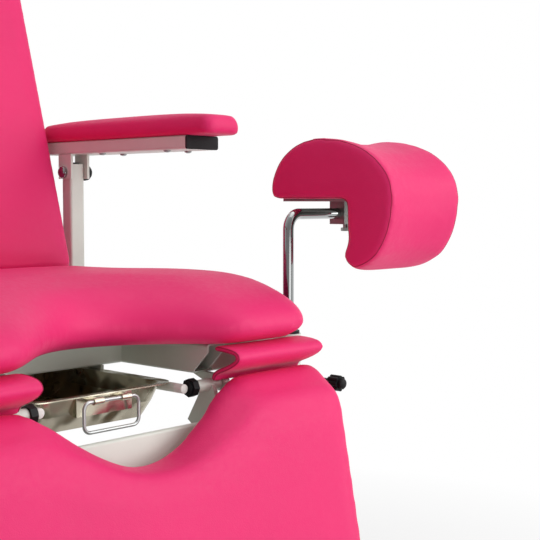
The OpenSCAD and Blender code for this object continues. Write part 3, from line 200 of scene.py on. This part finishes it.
def vinyl_skin():
    """Fine pressed grain, soft handling waves and slow colour drift of artificial leather."""
    tree, gin, gout = group(
        "vinyl_skin", [("Grain", 700.0), ("Wave", 9.0)], ["Height", "Drift", "Gloss"]
    )
    place = object_place(tree)
    pores = add(tree, "ShaderNodeTexVoronoi", [(place, "Vector"), (gin.outputs["Grain"], "Scale")])
    folds = noise(tree, place, scale=140.0, detail=3.0)
    wave_links = [(place, "Vector"), (gin.outputs["Wave"], "Scale")]
    wave = add(tree, "ShaderNodeTexNoise", wave_links, detail=1.5).outputs["Fac"]
    grain = maths(tree, "MULTIPLY", pores.outputs["Distance"], VINYL_GRAIN)
    fold = maths(tree, "MULTIPLY", folds, VINYL_FOLD)
    swell = maths(tree, "MULTIPLY", wave, VINYL_SWELL)
    height = maths(tree, "ADD", maths(tree, "ADD", grain, fold), swell)
    drift = noise(tree, place, scale=5.0, detail=4.0)
    tree.links.new(height, gout.inputs["Height"])
    tree.links.new(ramp(tree, drift, 0.3, 0.7), gout.inputs["Drift"])
    tree.links.new(ramp(tree, folds, 0.3, 0.7, 0.48, 0.58), gout.inputs["Gloss"])
    return tree


def powder_coat():
    """Orange peel of sprayed paint and a little grime where hands and dust reach."""
    tree, gin, gout = group("powder_coat", [("Peel", 450.0)], ["Height", "Grime", "Gloss"])
    place = object_place(tree)
    peel_links = [(place, "Vector"), (gin.outputs["Peel"], "Scale")]
    peel = add(tree, "ShaderNodeTexNoise", peel_links, detail=2.0).outputs["Fac"]
    cloud = noise(tree, place, scale=13.0, detail=6.0, roughness=0.65)
    tree.links.new(maths(tree, "MULTIPLY", peel, PAINT_PEEL), gout.inputs["Height"])
    tree.links.new(ramp(tree, cloud, 0.42, 0.75), gout.inputs["Grime"])
    tree.links.new(ramp(tree, cloud, 0.3, 0.7, 0.34, 0.46), gout.inputs["Gloss"])
    return tree


def brushed_lines():
    """Long fine scratches along one axis, with shallow pressing dents and handling smears."""
    tree, gin, gout = group(
        "brushed_lines", [("Stretch", (900.0, 25.0, 900.0)), ("Dent", 0.0)], ["Height", "Smear"]
    )
    place = object_place(tree)
    pull_links = [(place, 0), (gin.outputs["Stretch"], 1)]
    pull = add(tree, "ShaderNodeVectorMath", pull_links, operation="MULTIPLY")
    lines = noise(tree, pull.outputs[0], scale=1.0, detail=3.0)
    smear = noise(tree, place, scale=24.0, detail=5.0)
    dents = noise(tree, place, scale=22.0, detail=1.0)
    scratch = maths(tree, "MULTIPLY", lines, METAL_SCRATCH)
    dent = maths(tree, "MULTIPLY", dents, gin.outputs["Dent"])
    tree.links.new(maths(tree, "ADD", scratch, dent), gout.inputs["Height"])
    tree.links.new(ramp(tree, smear, 0.35, 0.7), gout.inputs["Smear"])
    return tree


def moulded_texture():
    """Spark-eroded texture of moulded plastic and rubber, with dust."""
    tree, gin, gout = group("moulded_texture", [("Spark", 1400.0)], ["Height", "Gloss", "Dust"])
    place = object_place(tree)
    spark_links = [(place, "Vector"), (gin.outputs["Spark"], "Scale")]
    spark = add(tree, "ShaderNodeTexNoise", spark_links, detail=2.0).outputs["Fac"]
    dust = noise(tree, place, scale=60.0, detail=6.0, roughness=0.7)
    tree.links.new(maths(tree, "MULTIPLY", spark, PLASTIC_SPARK), gout.inputs["Height"])
    tree.links.new(ramp(tree, spark, 0.3, 0.7, 0.38, 0.55), gout.inputs["Gloss"])
    tree.links.new(ramp(tree, dust, 0.5, 0.85, 0.0, 0.5), gout.inputs["Dust"])
    return tree


GROUPS = {
    "vinyl": vinyl_skin(),
    "paint": powder_coat(),
    "brushed": brushed_lines(),
    "moulded": moulded_texture(),
}


# Materials

def finish_material(name, kind, **values):
    """A material with its Principled shader and one shared group that shapes its surface."""
    mat = bpy.data.materials.new(name)
    mat.use_nodes = True
    tree = mat.node_tree
    shader = tree.nodes["Principled BSDF"]
    made = tree.nodes.new("ShaderNodeGroup")
    made.node_tree = GROUPS[kind]
    for key, value in values.items():
        made.inputs[key.title()].default_value = value
    bump = add(tree, "ShaderNodeBump", [(made.outputs["Height"], "Height")], strength=1.0, distance=1.0)
    tree.links.new(bump.outputs["Normal"], shader.inputs["Normal"])
    return mat, tree, shader, made


def mixed(tree, factor, a, b):
    node = tree.nodes.new("ShaderNodeMix")
    node.data_type = "RGBA"
    tree.links.new(factor, node.inputs["Factor"])
    node.inputs["A"].default_value = (*a, 1)
    node.inputs["B"].default_value = (*b, 1)
    return node.outputs["Result"]


def tinted(colour, share):
    return tuple(c * share for c in colour)


def vinyl_material(name, colour, grain=700.0):
    mat, tree, shader, skin = finish_material(name, "vinyl", grain=grain)
    shade = mixed(tree, skin.outputs["Drift"], tinted(colour, 0.93), colour)
    tree.links.new(shade, shader.inputs["Base Color"])
    tree.links.new(skin.outputs["Gloss"], shader.inputs["Roughness"])
    shader.inputs["Specular IOR Level"].default_value = 0.30
    shader.inputs["Sheen Weight"].default_value = 0.05
    shader.inputs["Sheen Roughness"].default_value = 0.5
    shader.inputs["Sheen Tint"].default_value = (*VINYL_SHEEN, 1)
    return mat


def paint_material(name, colour):
    mat, tree, shader, coat = finish_material(name, "paint")
    shade = mixed(tree, coat.outputs["Grime"], colour, tinted(colour, 0.93))
    tree.links.new(shade, shader.inputs["Base Color"])
    tree.links.new(coat.outputs["Gloss"], shader.inputs["Roughness"])
    return mat


def metal_material(name, colour, low, high, stretch, painted_dark_core, dent=0.0):
    """Metal of roughness low to high, with painted reflection: its colour is darker in its core than at its edges,
    standing in for a dark studio mirrored in it.
    """
    mat, tree, shader, lines = finish_material(name, "brushed", stretch=stretch, dent=dent)
    # Painted reflection: the base colour darkens where the surface faces the camera, in place of a dark studio
    # mirrored in the metal's core
    edge = add(tree, "ShaderNodeLayerWeight", blend=0.45)
    shade = mixed(tree, edge.outputs["Facing"], tinted(colour, painted_dark_core), colour)
    tree.links.new(shade, shader.inputs["Base Color"])
    tree.links.new(ramp(tree, lines.outputs["Smear"], 0.0, 1.0, low, high), shader.inputs["Roughness"])
    shader.inputs["Metallic"].default_value = 1.0
    return mat


def plastic_material(name, colour, dusty, spark=1400.0):
    mat, tree, shader, skin = finish_material(name, "moulded", spark=spark)
    shade = mixed(tree, skin.outputs["Dust"], colour, tinted(colour, dusty))
    tree.links.new(shade, shader.inputs["Base Color"])
    tree.links.new(skin.outputs["Gloss"], shader.inputs["Roughness"])
    shader.inputs["Specular IOR Level"].default_value = 0.16
    return mat


def plywood_material():
    mat, tree, shader, lines = finish_material(
        "plywood_backing", "brushed", stretch=(110.0, 110.0, 5.0)
    )
    streaks = ramp(tree, lines.outputs["Height"], 0.000011, 0.000019)
    shade = mixed(tree, streaks, tinted(PLY, 0.72), PLY)
    tree.links.new(shade, shader.inputs["Base Color"])
    shader.inputs["Roughness"].default_value = 0.62
    return mat


# Each metal's core value sets how dark its painted reflection is where it faces the camera
FINISH = {
    "vinyl": vinyl_material("pink_vinyl", PINK),
    "paint": paint_material("light_powder_coat", PAINT),
    "chrome": metal_material(
        "polished_chrome", CHROME, low=0.05, high=0.12, stretch=(60.0, 60.0, 60.0), painted_dark_core=0.16
    ),
    "steel": metal_material(
        "turned_steel", tinted(CHROME, 0.8), low=0.30, high=0.42, stretch=(500.0, 500.0, 30.0), painted_dark_core=0.5
    ),
    "tray_steel": metal_material(
        "pressed_stainless", STAINLESS_PAINTED_REFLECTION, low=0.18, high=0.30, stretch=(900.0, 20.0, 900.0), painted_dark_core=0.80,
        dent=TRAY_DENT,
    ),
    "black": plastic_material("black_plastic", BLACK, dusty=2.2),
    "cap_white": plastic_material("white_cap_plastic", CAP_WHITE, dusty=0.92),
    "rubber": plastic_material("foot_rubber", tinted(BLACK, 1.8), dusty=2.0, spark=900.0),
    "grey": plastic_material("box_plastic", BOX_GREY, dusty=1.2, spark=1100.0),
    "board": plywood_material(),
}
SEAM = vinyl_material("pink_seam", SEAM_PINK, grain=1500.0)
# Its core value sets how dark its painted reflection is where it faces the camera
ZINC = metal_material(
    "dull_zinc", DULL_ZINC, low=0.42, high=0.58, stretch=(200.0, 200.0, 200.0), painted_dark_core=0.7
)
ZINC_NODES = ("knee_clamp_left", "knee_clamp_right")

for part in frame["record"]["subparts"]:
    mesh = nodes[part["node"]].data
    mesh.materials.clear()
    mesh.materials.append(ZINC if part["node"] in ZINC_NODES else FINISH[part["material_slot"]])


# Making pieces

def hinge_place(name):
    return Vector(joints[name]["pos_m"])


def piece(name, data, body, finish):
    obj = bpy.data.objects.new(name, data)
    bpy.context.scene.collection.objects.link(obj)
    data.materials.clear()
    data.materials.append(finish)
    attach(obj, body)
    return obj


def evaluated_mesh(obj):
    graph = bpy.context.evaluated_depsgraph_get()
    return bpy.data.meshes.new_from_object(obj.evaluated_get(graph), depsgraph=graph)


def applied(obj):
    """Turns the object's modifiers into its mesh."""
    mesh, old = evaluated_mesh(obj), obj.data
    obj.modifiers.clear()
    obj.data = mesh
    bpy.data.meshes.remove(old)


def smooth(mesh):
    mesh.polygons.foreach_set("use_smooth", [True] * len(mesh.polygons))
    mesh.update()


def between(value, low, high):
    """How far the value has come from low to high, kept within 0 and 1."""
    return min(max((value - low) / (high - low), 0.0), 1.0)


def bell(value, middle, reach):
    """1 at the middle, fading out to both sides over about twice the reach."""
    away = (value - middle) / reach
    return math.exp(-away * away)


def subdivided(obj, levels):
    finer = obj.modifiers.new("finer", "SUBSURF")
    finer.levels = finer.render_levels = levels
    applied(obj)


def relaxed(obj, rounds, vertex_group=""):
    relax = obj.modifiers.new("relax", "SMOOTH")
    relax.factor = 0.5
    relax.iterations = rounds
    relax.vertex_group = vertex_group
    applied(obj)


def remeshed(obj, face):
    """Even small faces over the CAD form."""
    cut = obj.modifiers.new("voxels", "REMESH")
    cut.mode = "VOXEL"
    cut.voxel_size = face
    cut.use_smooth_shade = True
    applied(obj)


def softened(obj, half_width, rounds):
    """Extra smoothing inside a cushion, fading out towards its sides."""
    inside = obj.vertex_groups.new(name="inside")
    for v in obj.data.vertices:
        weight = between(abs(v.co.x), half_width, half_width - SOFT_FADE)
        if weight > 0:
            inside.add([v.index], weight, "REPLACE")
    relaxed(obj, rounds, "inside")
    obj.vertex_groups.clear()


def even_over(mesh, values, rounds):
    """Values of the vertices, evened out with their neighbours'."""
    ends = np.empty(len(mesh.edges) * 2, dtype=np.int64)
    mesh.edges.foreach_get("vertices", ends)
    a, b = ends[0::2], ends[1::2]
    count = np.bincount(ends, minlength=len(values))
    for _ in range(rounds):
        near = np.bincount(a, values[b], len(values)) + np.bincount(b, values[a], len(values))
        values = 0.5 * values + 0.5 * near / np.maximum(count, 1)
    return values


def stretched_cloth(obj, held, pressure):
    """Blows the mesh up from inside as vinyl cloth whose base is held."""
    pins = obj.vertex_groups.new(name="held")
    pins.add([v.index for v in obj.data.vertices if held(v.co)], 1.0, "REPLACE")
    cloth = obj.modifiers.new("stuffing", "CLOTH")
    settings = cloth.settings
    settings.quality = 3
    settings.mass = 0.4
    settings.tension_stiffness = settings.compression_stiffness = CLOTH_STRETCH
    settings.shear_stiffness = CLOTH_SHEAR
    settings.bending_stiffness = CLOTH_BEND
    settings.use_pressure = True
    settings.uniform_pressure_force = pressure
    settings.vertex_group_mass = pins.name
    settings.effector_weights.gravity = 0
    cloth.collision_settings.use_collision = False
    scene = bpy.context.scene
    scene.frame_start, scene.frame_end = 1, CLOTH_FRAMES
    cloth.point_cache.frame_start, cloth.point_cache.frame_end = 1, CLOTH_FRAMES
    for step in range(1, CLOTH_FRAMES + 1):
        scene.frame_set(step)
    applied(obj)
    scene.frame_set(1)


def cloth_swelling(obj, held, pressure, cap):
    """How far stretched vinyl stands out over its foam, evened out so that edges stay in place."""
    start = [v.co.copy() for v in obj.data.vertices]
    normals = [v.normal.copy() for v in obj.data.vertices]
    stretched_cloth(obj, held, pressure)
    swell = np.array([(v.co - was).dot(n) for v, was, n in zip(obj.data.vertices, start, normals)])
    for v, was in zip(obj.data.vertices, start):
        v.co = was
    swell = even_over(obj.data, np.clip(swell, -cap, cap), SWELL_EVEN)
    return SWELL_SHARE * cap + np.clip(swell, -SWELL_LEAST * cap, SWELL_MOST * cap)


def lifted(obj, held, lifts):
    """Moves the skin out along its normals, fading out at the held base."""
    mesh = obj.data
    free = np.array([0.0 if held(v.co) else 1.0 for v in mesh.vertices])
    lifts = even_over(mesh, lifts * free, LIFT_EVEN)
    normals = [v.normal.copy() for v in mesh.vertices]
    for v, normal, out in zip(mesh.vertices, normals, lifts):
        v.co += normal * out


def foam_form(node, crease):
    """The CAD's faceted foam as quads that subdivide into a smooth form."""
    form = nodes[node].data.copy()
    bm = bmesh.new()
    bm.from_mesh(form)
    bmesh.ops.remove_doubles(bm, verts=bm.verts, dist=WELD)
    bmesh.ops.recalc_face_normals(bm, faces=bm.faces)
    bmesh.ops.join_triangles(
        bm, faces=bm.faces, angle_face_threshold=JOIN_ANGLE, angle_shape_threshold=math.pi
    )
    sharp = bm.edges.layers.float.new("crease_edge")
    for edge in bm.edges:
        if len(edge.link_faces) == 2 and edge.calc_face_angle(0) > CREASE_ANGLE:
            edge[sharp] = crease
    bm.to_mesh(form)
    bm.free()
    return form


def upholstery(
    name, node, face, held, shaped=None, pressure=4.0, cap=0.006, rounds=8, crease=0.7,
    soft_inside=None,
):
    """A stuffed vinyl piece in place of the CAD's plain solid of the same form."""
    obj = piece(name, foam_form(node, crease), body_of_node[node], FINISH["vinyl"])
    subdivided(obj, 2)
    remeshed(obj, face)
    relaxed(obj, rounds)
    if soft_inside:
        softened(obj, *soft_inside)
    if shaped:
        for v in obj.data.vertices:
            v.co = shaped(v.co)
    swell = cloth_swelling(obj, held, pressure, cap)
    lifted(obj, held, swell)
    obj.data.materials.clear()
    obj.data.materials.append(FINISH["vinyl"])
    subdivided(obj, 1)
    smooth(obj.data)
    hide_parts(node)
    return obj


def closed_bead(name, points, radius, body, finish):
    """A round bead through the points and back to the first."""
    curve = bpy.data.curves.new(name, "CURVE")
    curve.dimensions = "3D"
    curve.bevel_depth = radius
    curve.bevel_resolution = 3
    line = curve.splines.new("POLY")
    line.points.add(len(points) - 1)
    for p, q in zip(line.points, points):
        p.co = (*q, 1)
    line.use_cyclic_u = True
    drawn = bpy.data.objects.new(name, curve)
    bpy.context.scene.collection.objects.link(drawn)
    mesh = evaluated_mesh(drawn)
    bpy.data.objects.remove(drawn)
    bpy.data.curves.remove(curve)
    smooth(mesh)
    return piece(name, mesh, body, finish)


def cut_loops(mesh, x):
    """The closed lines in which the plane across X at x cuts a mesh."""
    bm = bmesh.new()
    bm.from_mesh(mesh)
    geometry = bm.verts[:] + bm.edges[:] + bm.faces[:]
    cut = bmesh.ops.bisect_plane(bm, geom=geometry, plane_co=(x, 0, 0), plane_no=(1, 0, 0))
    edges = dict.fromkeys(e for e in cut["geom_cut"] if isinstance(e, bmesh.types.BMEdge))
    loops = []
    while edges:
        edge = edges.popitem()[0]
        loop = [edge.verts[0], edge.verts[1]]
        while True:
            following = [e for e in loop[-1].link_edges if e in edges]
            if not following:
                break
            del edges[following[0]]
            loop.append(following[0].other_vert(loop[-1]))
        loops.append([v.co.copy() for v in loop])
    bm.free()
    return loops


def seam_ring(name, skin, node, x, radius, spacing=0.004):
    """A sewn seam right round a piece, in the plane across X at x."""
    line = max(cut_loops(skin.data, x), key=len)
    kept = [line[0]]
    for p in line[1:]:
        if (p - kept[-1]).length > spacing:
            kept.append(p)
    if (kept[-1] - kept[0]).length < spacing:
        kept.pop()
    even = [(kept[i - 1] + 2 * p + kept[(i + 1) % len(kept)]) / 4 for i, p in enumerate(kept)]
    return closed_bead(name, even, radius, body_of_node[node], SEAM)


def lathe(name, profile, centre, axis, body, finish, steps=40):
    """A turned piece from (radius, height) points, its height along the axis."""
    bm = bmesh.new()
    rings = []
    for r, h in profile:
        turns = [math.tau * i / steps for i in range(steps)]
        rings.append([bm.verts.new((r * math.cos(t), r * math.sin(t), h)) for t in turns])
    for low, high in zip(rings, rings[1:]):
        for i in range(steps):
            j = (i + 1) % steps
            bm.faces.new((low[i], low[j], high[j], high[i]))
    bm.faces.new(list(reversed(rings[0])))
    bm.faces.new(rings[-1])
    bmesh.ops.recalc_face_normals(bm, faces=bm.faces)
    turn = Vector(axis).to_track_quat("Z", "Y").to_matrix().to_4x4()
    bmesh.ops.transform(bm, matrix=Matrix.Translation(centre) @ turn, verts=bm.verts)
    mesh = bpy.data.meshes.new(name)
    bm.to_mesh(mesh)
    bm.free()
    smooth(mesh)
    obj = piece(name, mesh, body, FINISH[finish])


# Upholstery

def behind(node, hinge, lean):
    """How far a point lies behind a leaning cushion's hinge, and where the cushion's back lies."""
    start = hinge_place(hinge)
    rear = Vector((0, math.cos(lean), -math.sin(lean)))

    def depth(co):
        return (co - start).dot(rear)

    return depth, max(depth(v.co) for v in nodes[node].data.vertices)


def make_seat():
    low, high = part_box("seat_cushion")

    def held(co):
        return co.z < low.z + SEAT_HELD

    def filled(co):
        """The foam stands fuller behind the front roll, and the vinyl is folded under."""
        up = between(co.z, low.z, high.z)
        crown = SEAT_FULL * up * up * bell(co.y, low.y + SEAT_FULL_AT, SEAT_FULL_REACH)
        fold = SEAT_WRAP * max(1.0 - up / SEAT_WRAP_SHARE, 0.0)
        return co + Vector((0, 0, crown - fold))

    upholstery("seat_upholstery", "seat_cushion", CUSHION_FACE, held, filled, soft_inside=SEAT_SOFT)


def make_backrest():
    depth, back = behind("back_cushion", "backrest_hinge", BACK_LEAN)

    def held(co):
        return depth(co) > back - BACK_HELD

    upholstery("back_upholstery", "back_cushion", CUSHION_FACE, held)


def make_legrest():
    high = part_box("legrest_cushion")[1]
    depth, back = behind("legrest_cushion", "legrest_hinge", LEG_LEAN)

    def held(co):
        """The back, and the top edge, which passes close under the seat when it is raised."""
        return depth(co) > back - LEG_HELD or co.z > high.z - LEG_TOP_PLAIN

    def filled(co):
        """The foam keeps the corners of the cut-out full."""
        up = between(co.z, high.z - LEG_CORNER_DEEP, high.z)
        inward = LEG_CORNER * up * bell(abs(co.x), LEG_CORNER_AT, LEG_CORNER_REACH)
        return co - Vector((math.copysign(inward, co.x), 0, 0))

    upholstery(
        "legrest_upholstery", "legrest_cushion", CUSHION_FACE, held, filled, cap=0.005, rounds=12,
        soft_inside=LEG_SOFT,
    )


def make_armrest_pad(side):
    low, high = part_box(f"armrest_pad_{side}")
    middle = (low.y + high.y) / 2

    def held(co):
        return co.z < low.z + PAD_HELD

    def filled(co):
        """The pad runs on a little past the backrest's edge."""
        return co + Vector((0, ARM_REAR_OVER * max(co.y - middle, 0.0) / (high.y - middle), 0))

    upholstery(
        f"armrest_upholstery_{side}", f"armrest_pad_{side}", SMALL_PAD_FACE, held, filled, cap=0.002,
        rounds=4,
    )


def make_knee_pad(side, out):
    node = f"knee_pad_{side}"
    low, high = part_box(node)
    clamp_low, clamp_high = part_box(f"knee_clamp_{side}")
    middle = (low + high) / 2

    def held(co):
        return co.z < clamp_high.z + PAD_HELD and co.y > clamp_low.y - KNEE_HELD_SIDE

    def filled(co):
        """The lower lip hangs fuller between the end faces and bulges in below the clamp."""
        across = (co.x - middle.x) / (high.x - middle.x)
        down = max(middle.z - co.z, 0.0) / (middle.z - low.z)
        drop = KNEE_LIP_FULL * down * max(1.0 - across ** 4, 0.0)
        lip_back = low.y + KNEE_LIP_BACK
        inner = between(co.y, lip_back, lip_back + KNEE_LIP_THICK)
        hook = KNEE_HOOK * inner * bell(co.z, low.z + KNEE_HOOK_AT, KNEE_HOOK_REACH)
        return co + Vector((0, hook, -drop))

    pad = upholstery(
        f"knee_upholstery_{side}", node, SMALL_PAD_FACE, held, filled, cap=0.003, rounds=4,
        crease=0.9,
    )
    inner_face, outer_face = (low.x, high.x) if out > 0 else (high.x, low.x)
    inner_seam, outer_seam = inner_face + out * KNEE_SEAM_IN, outer_face - out * KNEE_SEAM_IN
    seam_ring(f"knee_seam_inner_{side}", pad, node, inner_seam, KNEE_SEAM)
    seam_ring(f"knee_seam_outer_{side}", pad, node, outer_seam, KNEE_SEAM)


def make_flap(side, out):
    """A thin soft flap with a piped inner end, both with meshes of their own."""
    node = f"flap_{side}"
    low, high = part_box(node)
    inner_end = low.x if out > 0 else high.x
    flap = upholstery(
        f"flap_skin_{side}", node, FLAP_FACE, lambda co: False, pressure=0.5, cap=0.0005, rounds=3,
    )
    piping = seam_ring(
        f"flap_piping_{side}", flap, node, inner_end + out * PIPING_IN, PIPING, PIPING_STEP
    )
    for soft in (flap, piping):
        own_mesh(soft)


# Small pieces that the CAD leaves to the scene

def make_armrest_trim(side, out):
    arm = f"arm_{side}"
    pivot = hinge_place(f"armrest_hinge_{side}")
    bolt_low, bolt_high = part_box(f"armrest_bolt_{side}")
    bolt_end = bolt_high.x if out > 0 else bolt_low.x
    knob_place = (bolt_end - out * KNOB_OVERLAP, pivot.y, pivot.z)
    lathe(f"armrest_knob_{side}", KNOB, knob_place, (out, 0, 0), arm, "black")
    post_low, post_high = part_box(f"armrest_post_{side}")
    post_face = post_high.x if out > 0 else post_low.x
    plug_place = (post_face - out * POST_HALF, pivot.y, post_high.z - PLUG_SUNK)
    lathe(f"armrest_post_plug_{side}", POST_PLUG, plug_place, (0, 0, 1), "seat", "black")
    tube_low, tube_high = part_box(f"armrest_plug_{side}")
    for number in range(4):
        across = (tube_low.x + tube_high.x) / 2 + SCREW_GAP * (number % 2 - 0.5)
        along = tube_high.y - SCREW_HALF - SCREW_STEP * (number // 2)
        lathe(
            f"armrest_screw_{number + 1}_{side}", SCREW_HEAD, (across, along, tube_low.z + SCREW_SUNK),
            (0, 0, -1), arm, "steel", 20,
        )


make_seat()
make_backrest()
make_legrest()
for side in SIDES:
    out = 1 if side == "left" else -1
    make_armrest_pad(side)
    make_knee_pad(side, out)
    make_flap(side, out)
for side in SIDES:
    make_armrest_trim(side, 1 if side == "left" else -1)


# Floor, light and camera

def backdrop_rays(tree):
    """1 for the rays that see the white background, by eye or in metal and glass."""
    seen = tree.nodes.new("ShaderNodeLightPath")
    eye = seen.outputs["Is Camera Ray"]
    mirror = maths(tree, "ADD", seen.outputs["Is Glossy Ray"], seen.outputs["Is Transmission Ray"])
    return maths(tree, "ADD", eye, mirror, clamp=True)


def floor_material():
    """Pale floor that keeps the shadow near the chair and goes over into white further out."""
    mat = bpy.data.materials.new("studio_floor")
    mat.use_nodes = True
    tree = mat.node_tree
    shader = tree.nodes["Principled BSDF"]
    shader.inputs["Base Color"].default_value = (0.86, 0.86, 0.86, 1)
    shader.inputs["Roughness"].default_value = 0.7
    reach = add(tree, "ShaderNodeVectorMath", [(object_place(tree), 0)], operation="LENGTH")
    white = ramp(tree, reach.outputs["Value"], 0.5, 1.7, 0.5, 1.0)
    far = maths(tree, "MULTIPLY", white, backdrop_rays(tree))
    glow = tree.nodes.new("ShaderNodeEmission")
    sources = [(far, "Fac"), (shader.outputs[0], 1), (glow.outputs[0], 2)]
    mix = add(tree, "ShaderNodeMixShader", sources)
    tree.links.new(mix.outputs[0], tree.nodes["Material Output"].inputs["Surface"])
    return mat


def studio_floor(half):
    corners = [(-half, -half, 0), (half, -half, 0), (half, half, 0), (-half, half, 0)]
    mesh = bpy.data.meshes.new("studio_floor")
    mesh.from_pydata(corners, [], [(0, 1, 2, 3)])
    mesh.materials.append(floor_material())
    floor = bpy.data.objects.new("studio_floor", mesh)
    bpy.context.scene.collection.objects.link(floor)


def studio_world(level):
    """White to the eye and in metal, and at the level for the light it gives."""
    world = bpy.data.worlds.new("studio")
    bpy.context.scene.world = world
    world.use_nodes = True
    tree = world.node_tree
    tree.nodes.clear()
    strength = ramp(tree, backdrop_rays(tree), 0.0, 1.0, level, 1.0)
    back = add(tree, "ShaderNodeBackground", [(strength, "Strength")], color=(1, 1, 1, 1))
    add(tree, "ShaderNodeOutputWorld", [(back.outputs[0], "Surface")])


def soft_box(name, place, target, size, power):
    lamp = bpy.data.lights.new(name, "AREA")
    lamp.shape = "RECTANGLE"
    lamp.size, lamp.size_y = size
    lamp.energy = power
    obj = bpy.data.objects.new(name, lamp)
    bpy.context.scene.collection.objects.link(obj)
    obj.location = place
    obj.rotation_euler = (Vector(target) - Vector(place)).to_track_quat("-Z", "Y").to_euler()


def photo_camera():
    camera = bpy.data.cameras.new("photo_view")
    camera.sensor_width = SENSOR_WIDTH
    camera.lens = FOCAL_PIXELS / FRAME_PIXELS * SENSOR_WIDTH
    obj = bpy.data.objects.new("photo_view", camera)
    bpy.context.scene.collection.objects.link(obj)
    obj.location = CAMERA_PLACE
    obj.rotation_euler = (math.pi / 2 - CAMERA_DIP, 0, -CAMERA_TURN)
    bpy.context.scene.camera = obj


studio_floor(half=40)
studio_world(level=0.30)
soft_box("key_soft_box", (1.7, -2.5, 1.7), (0.1, -0.1, 0.7), size=(2.4, 2.4), power=54)
soft_box("top_soft_box", (0.3, -0.6, 3.0), (0, 0, 0.6), size=(2.0, 2.0), power=20)
soft_box("low_fill", (-0.2, -2.5, 0.35), (0, 0, 0.55), size=(1.6, 0.5), power=9)
photo_camera()
bpy.context.scene.view_settings.view_transform = "Standard"
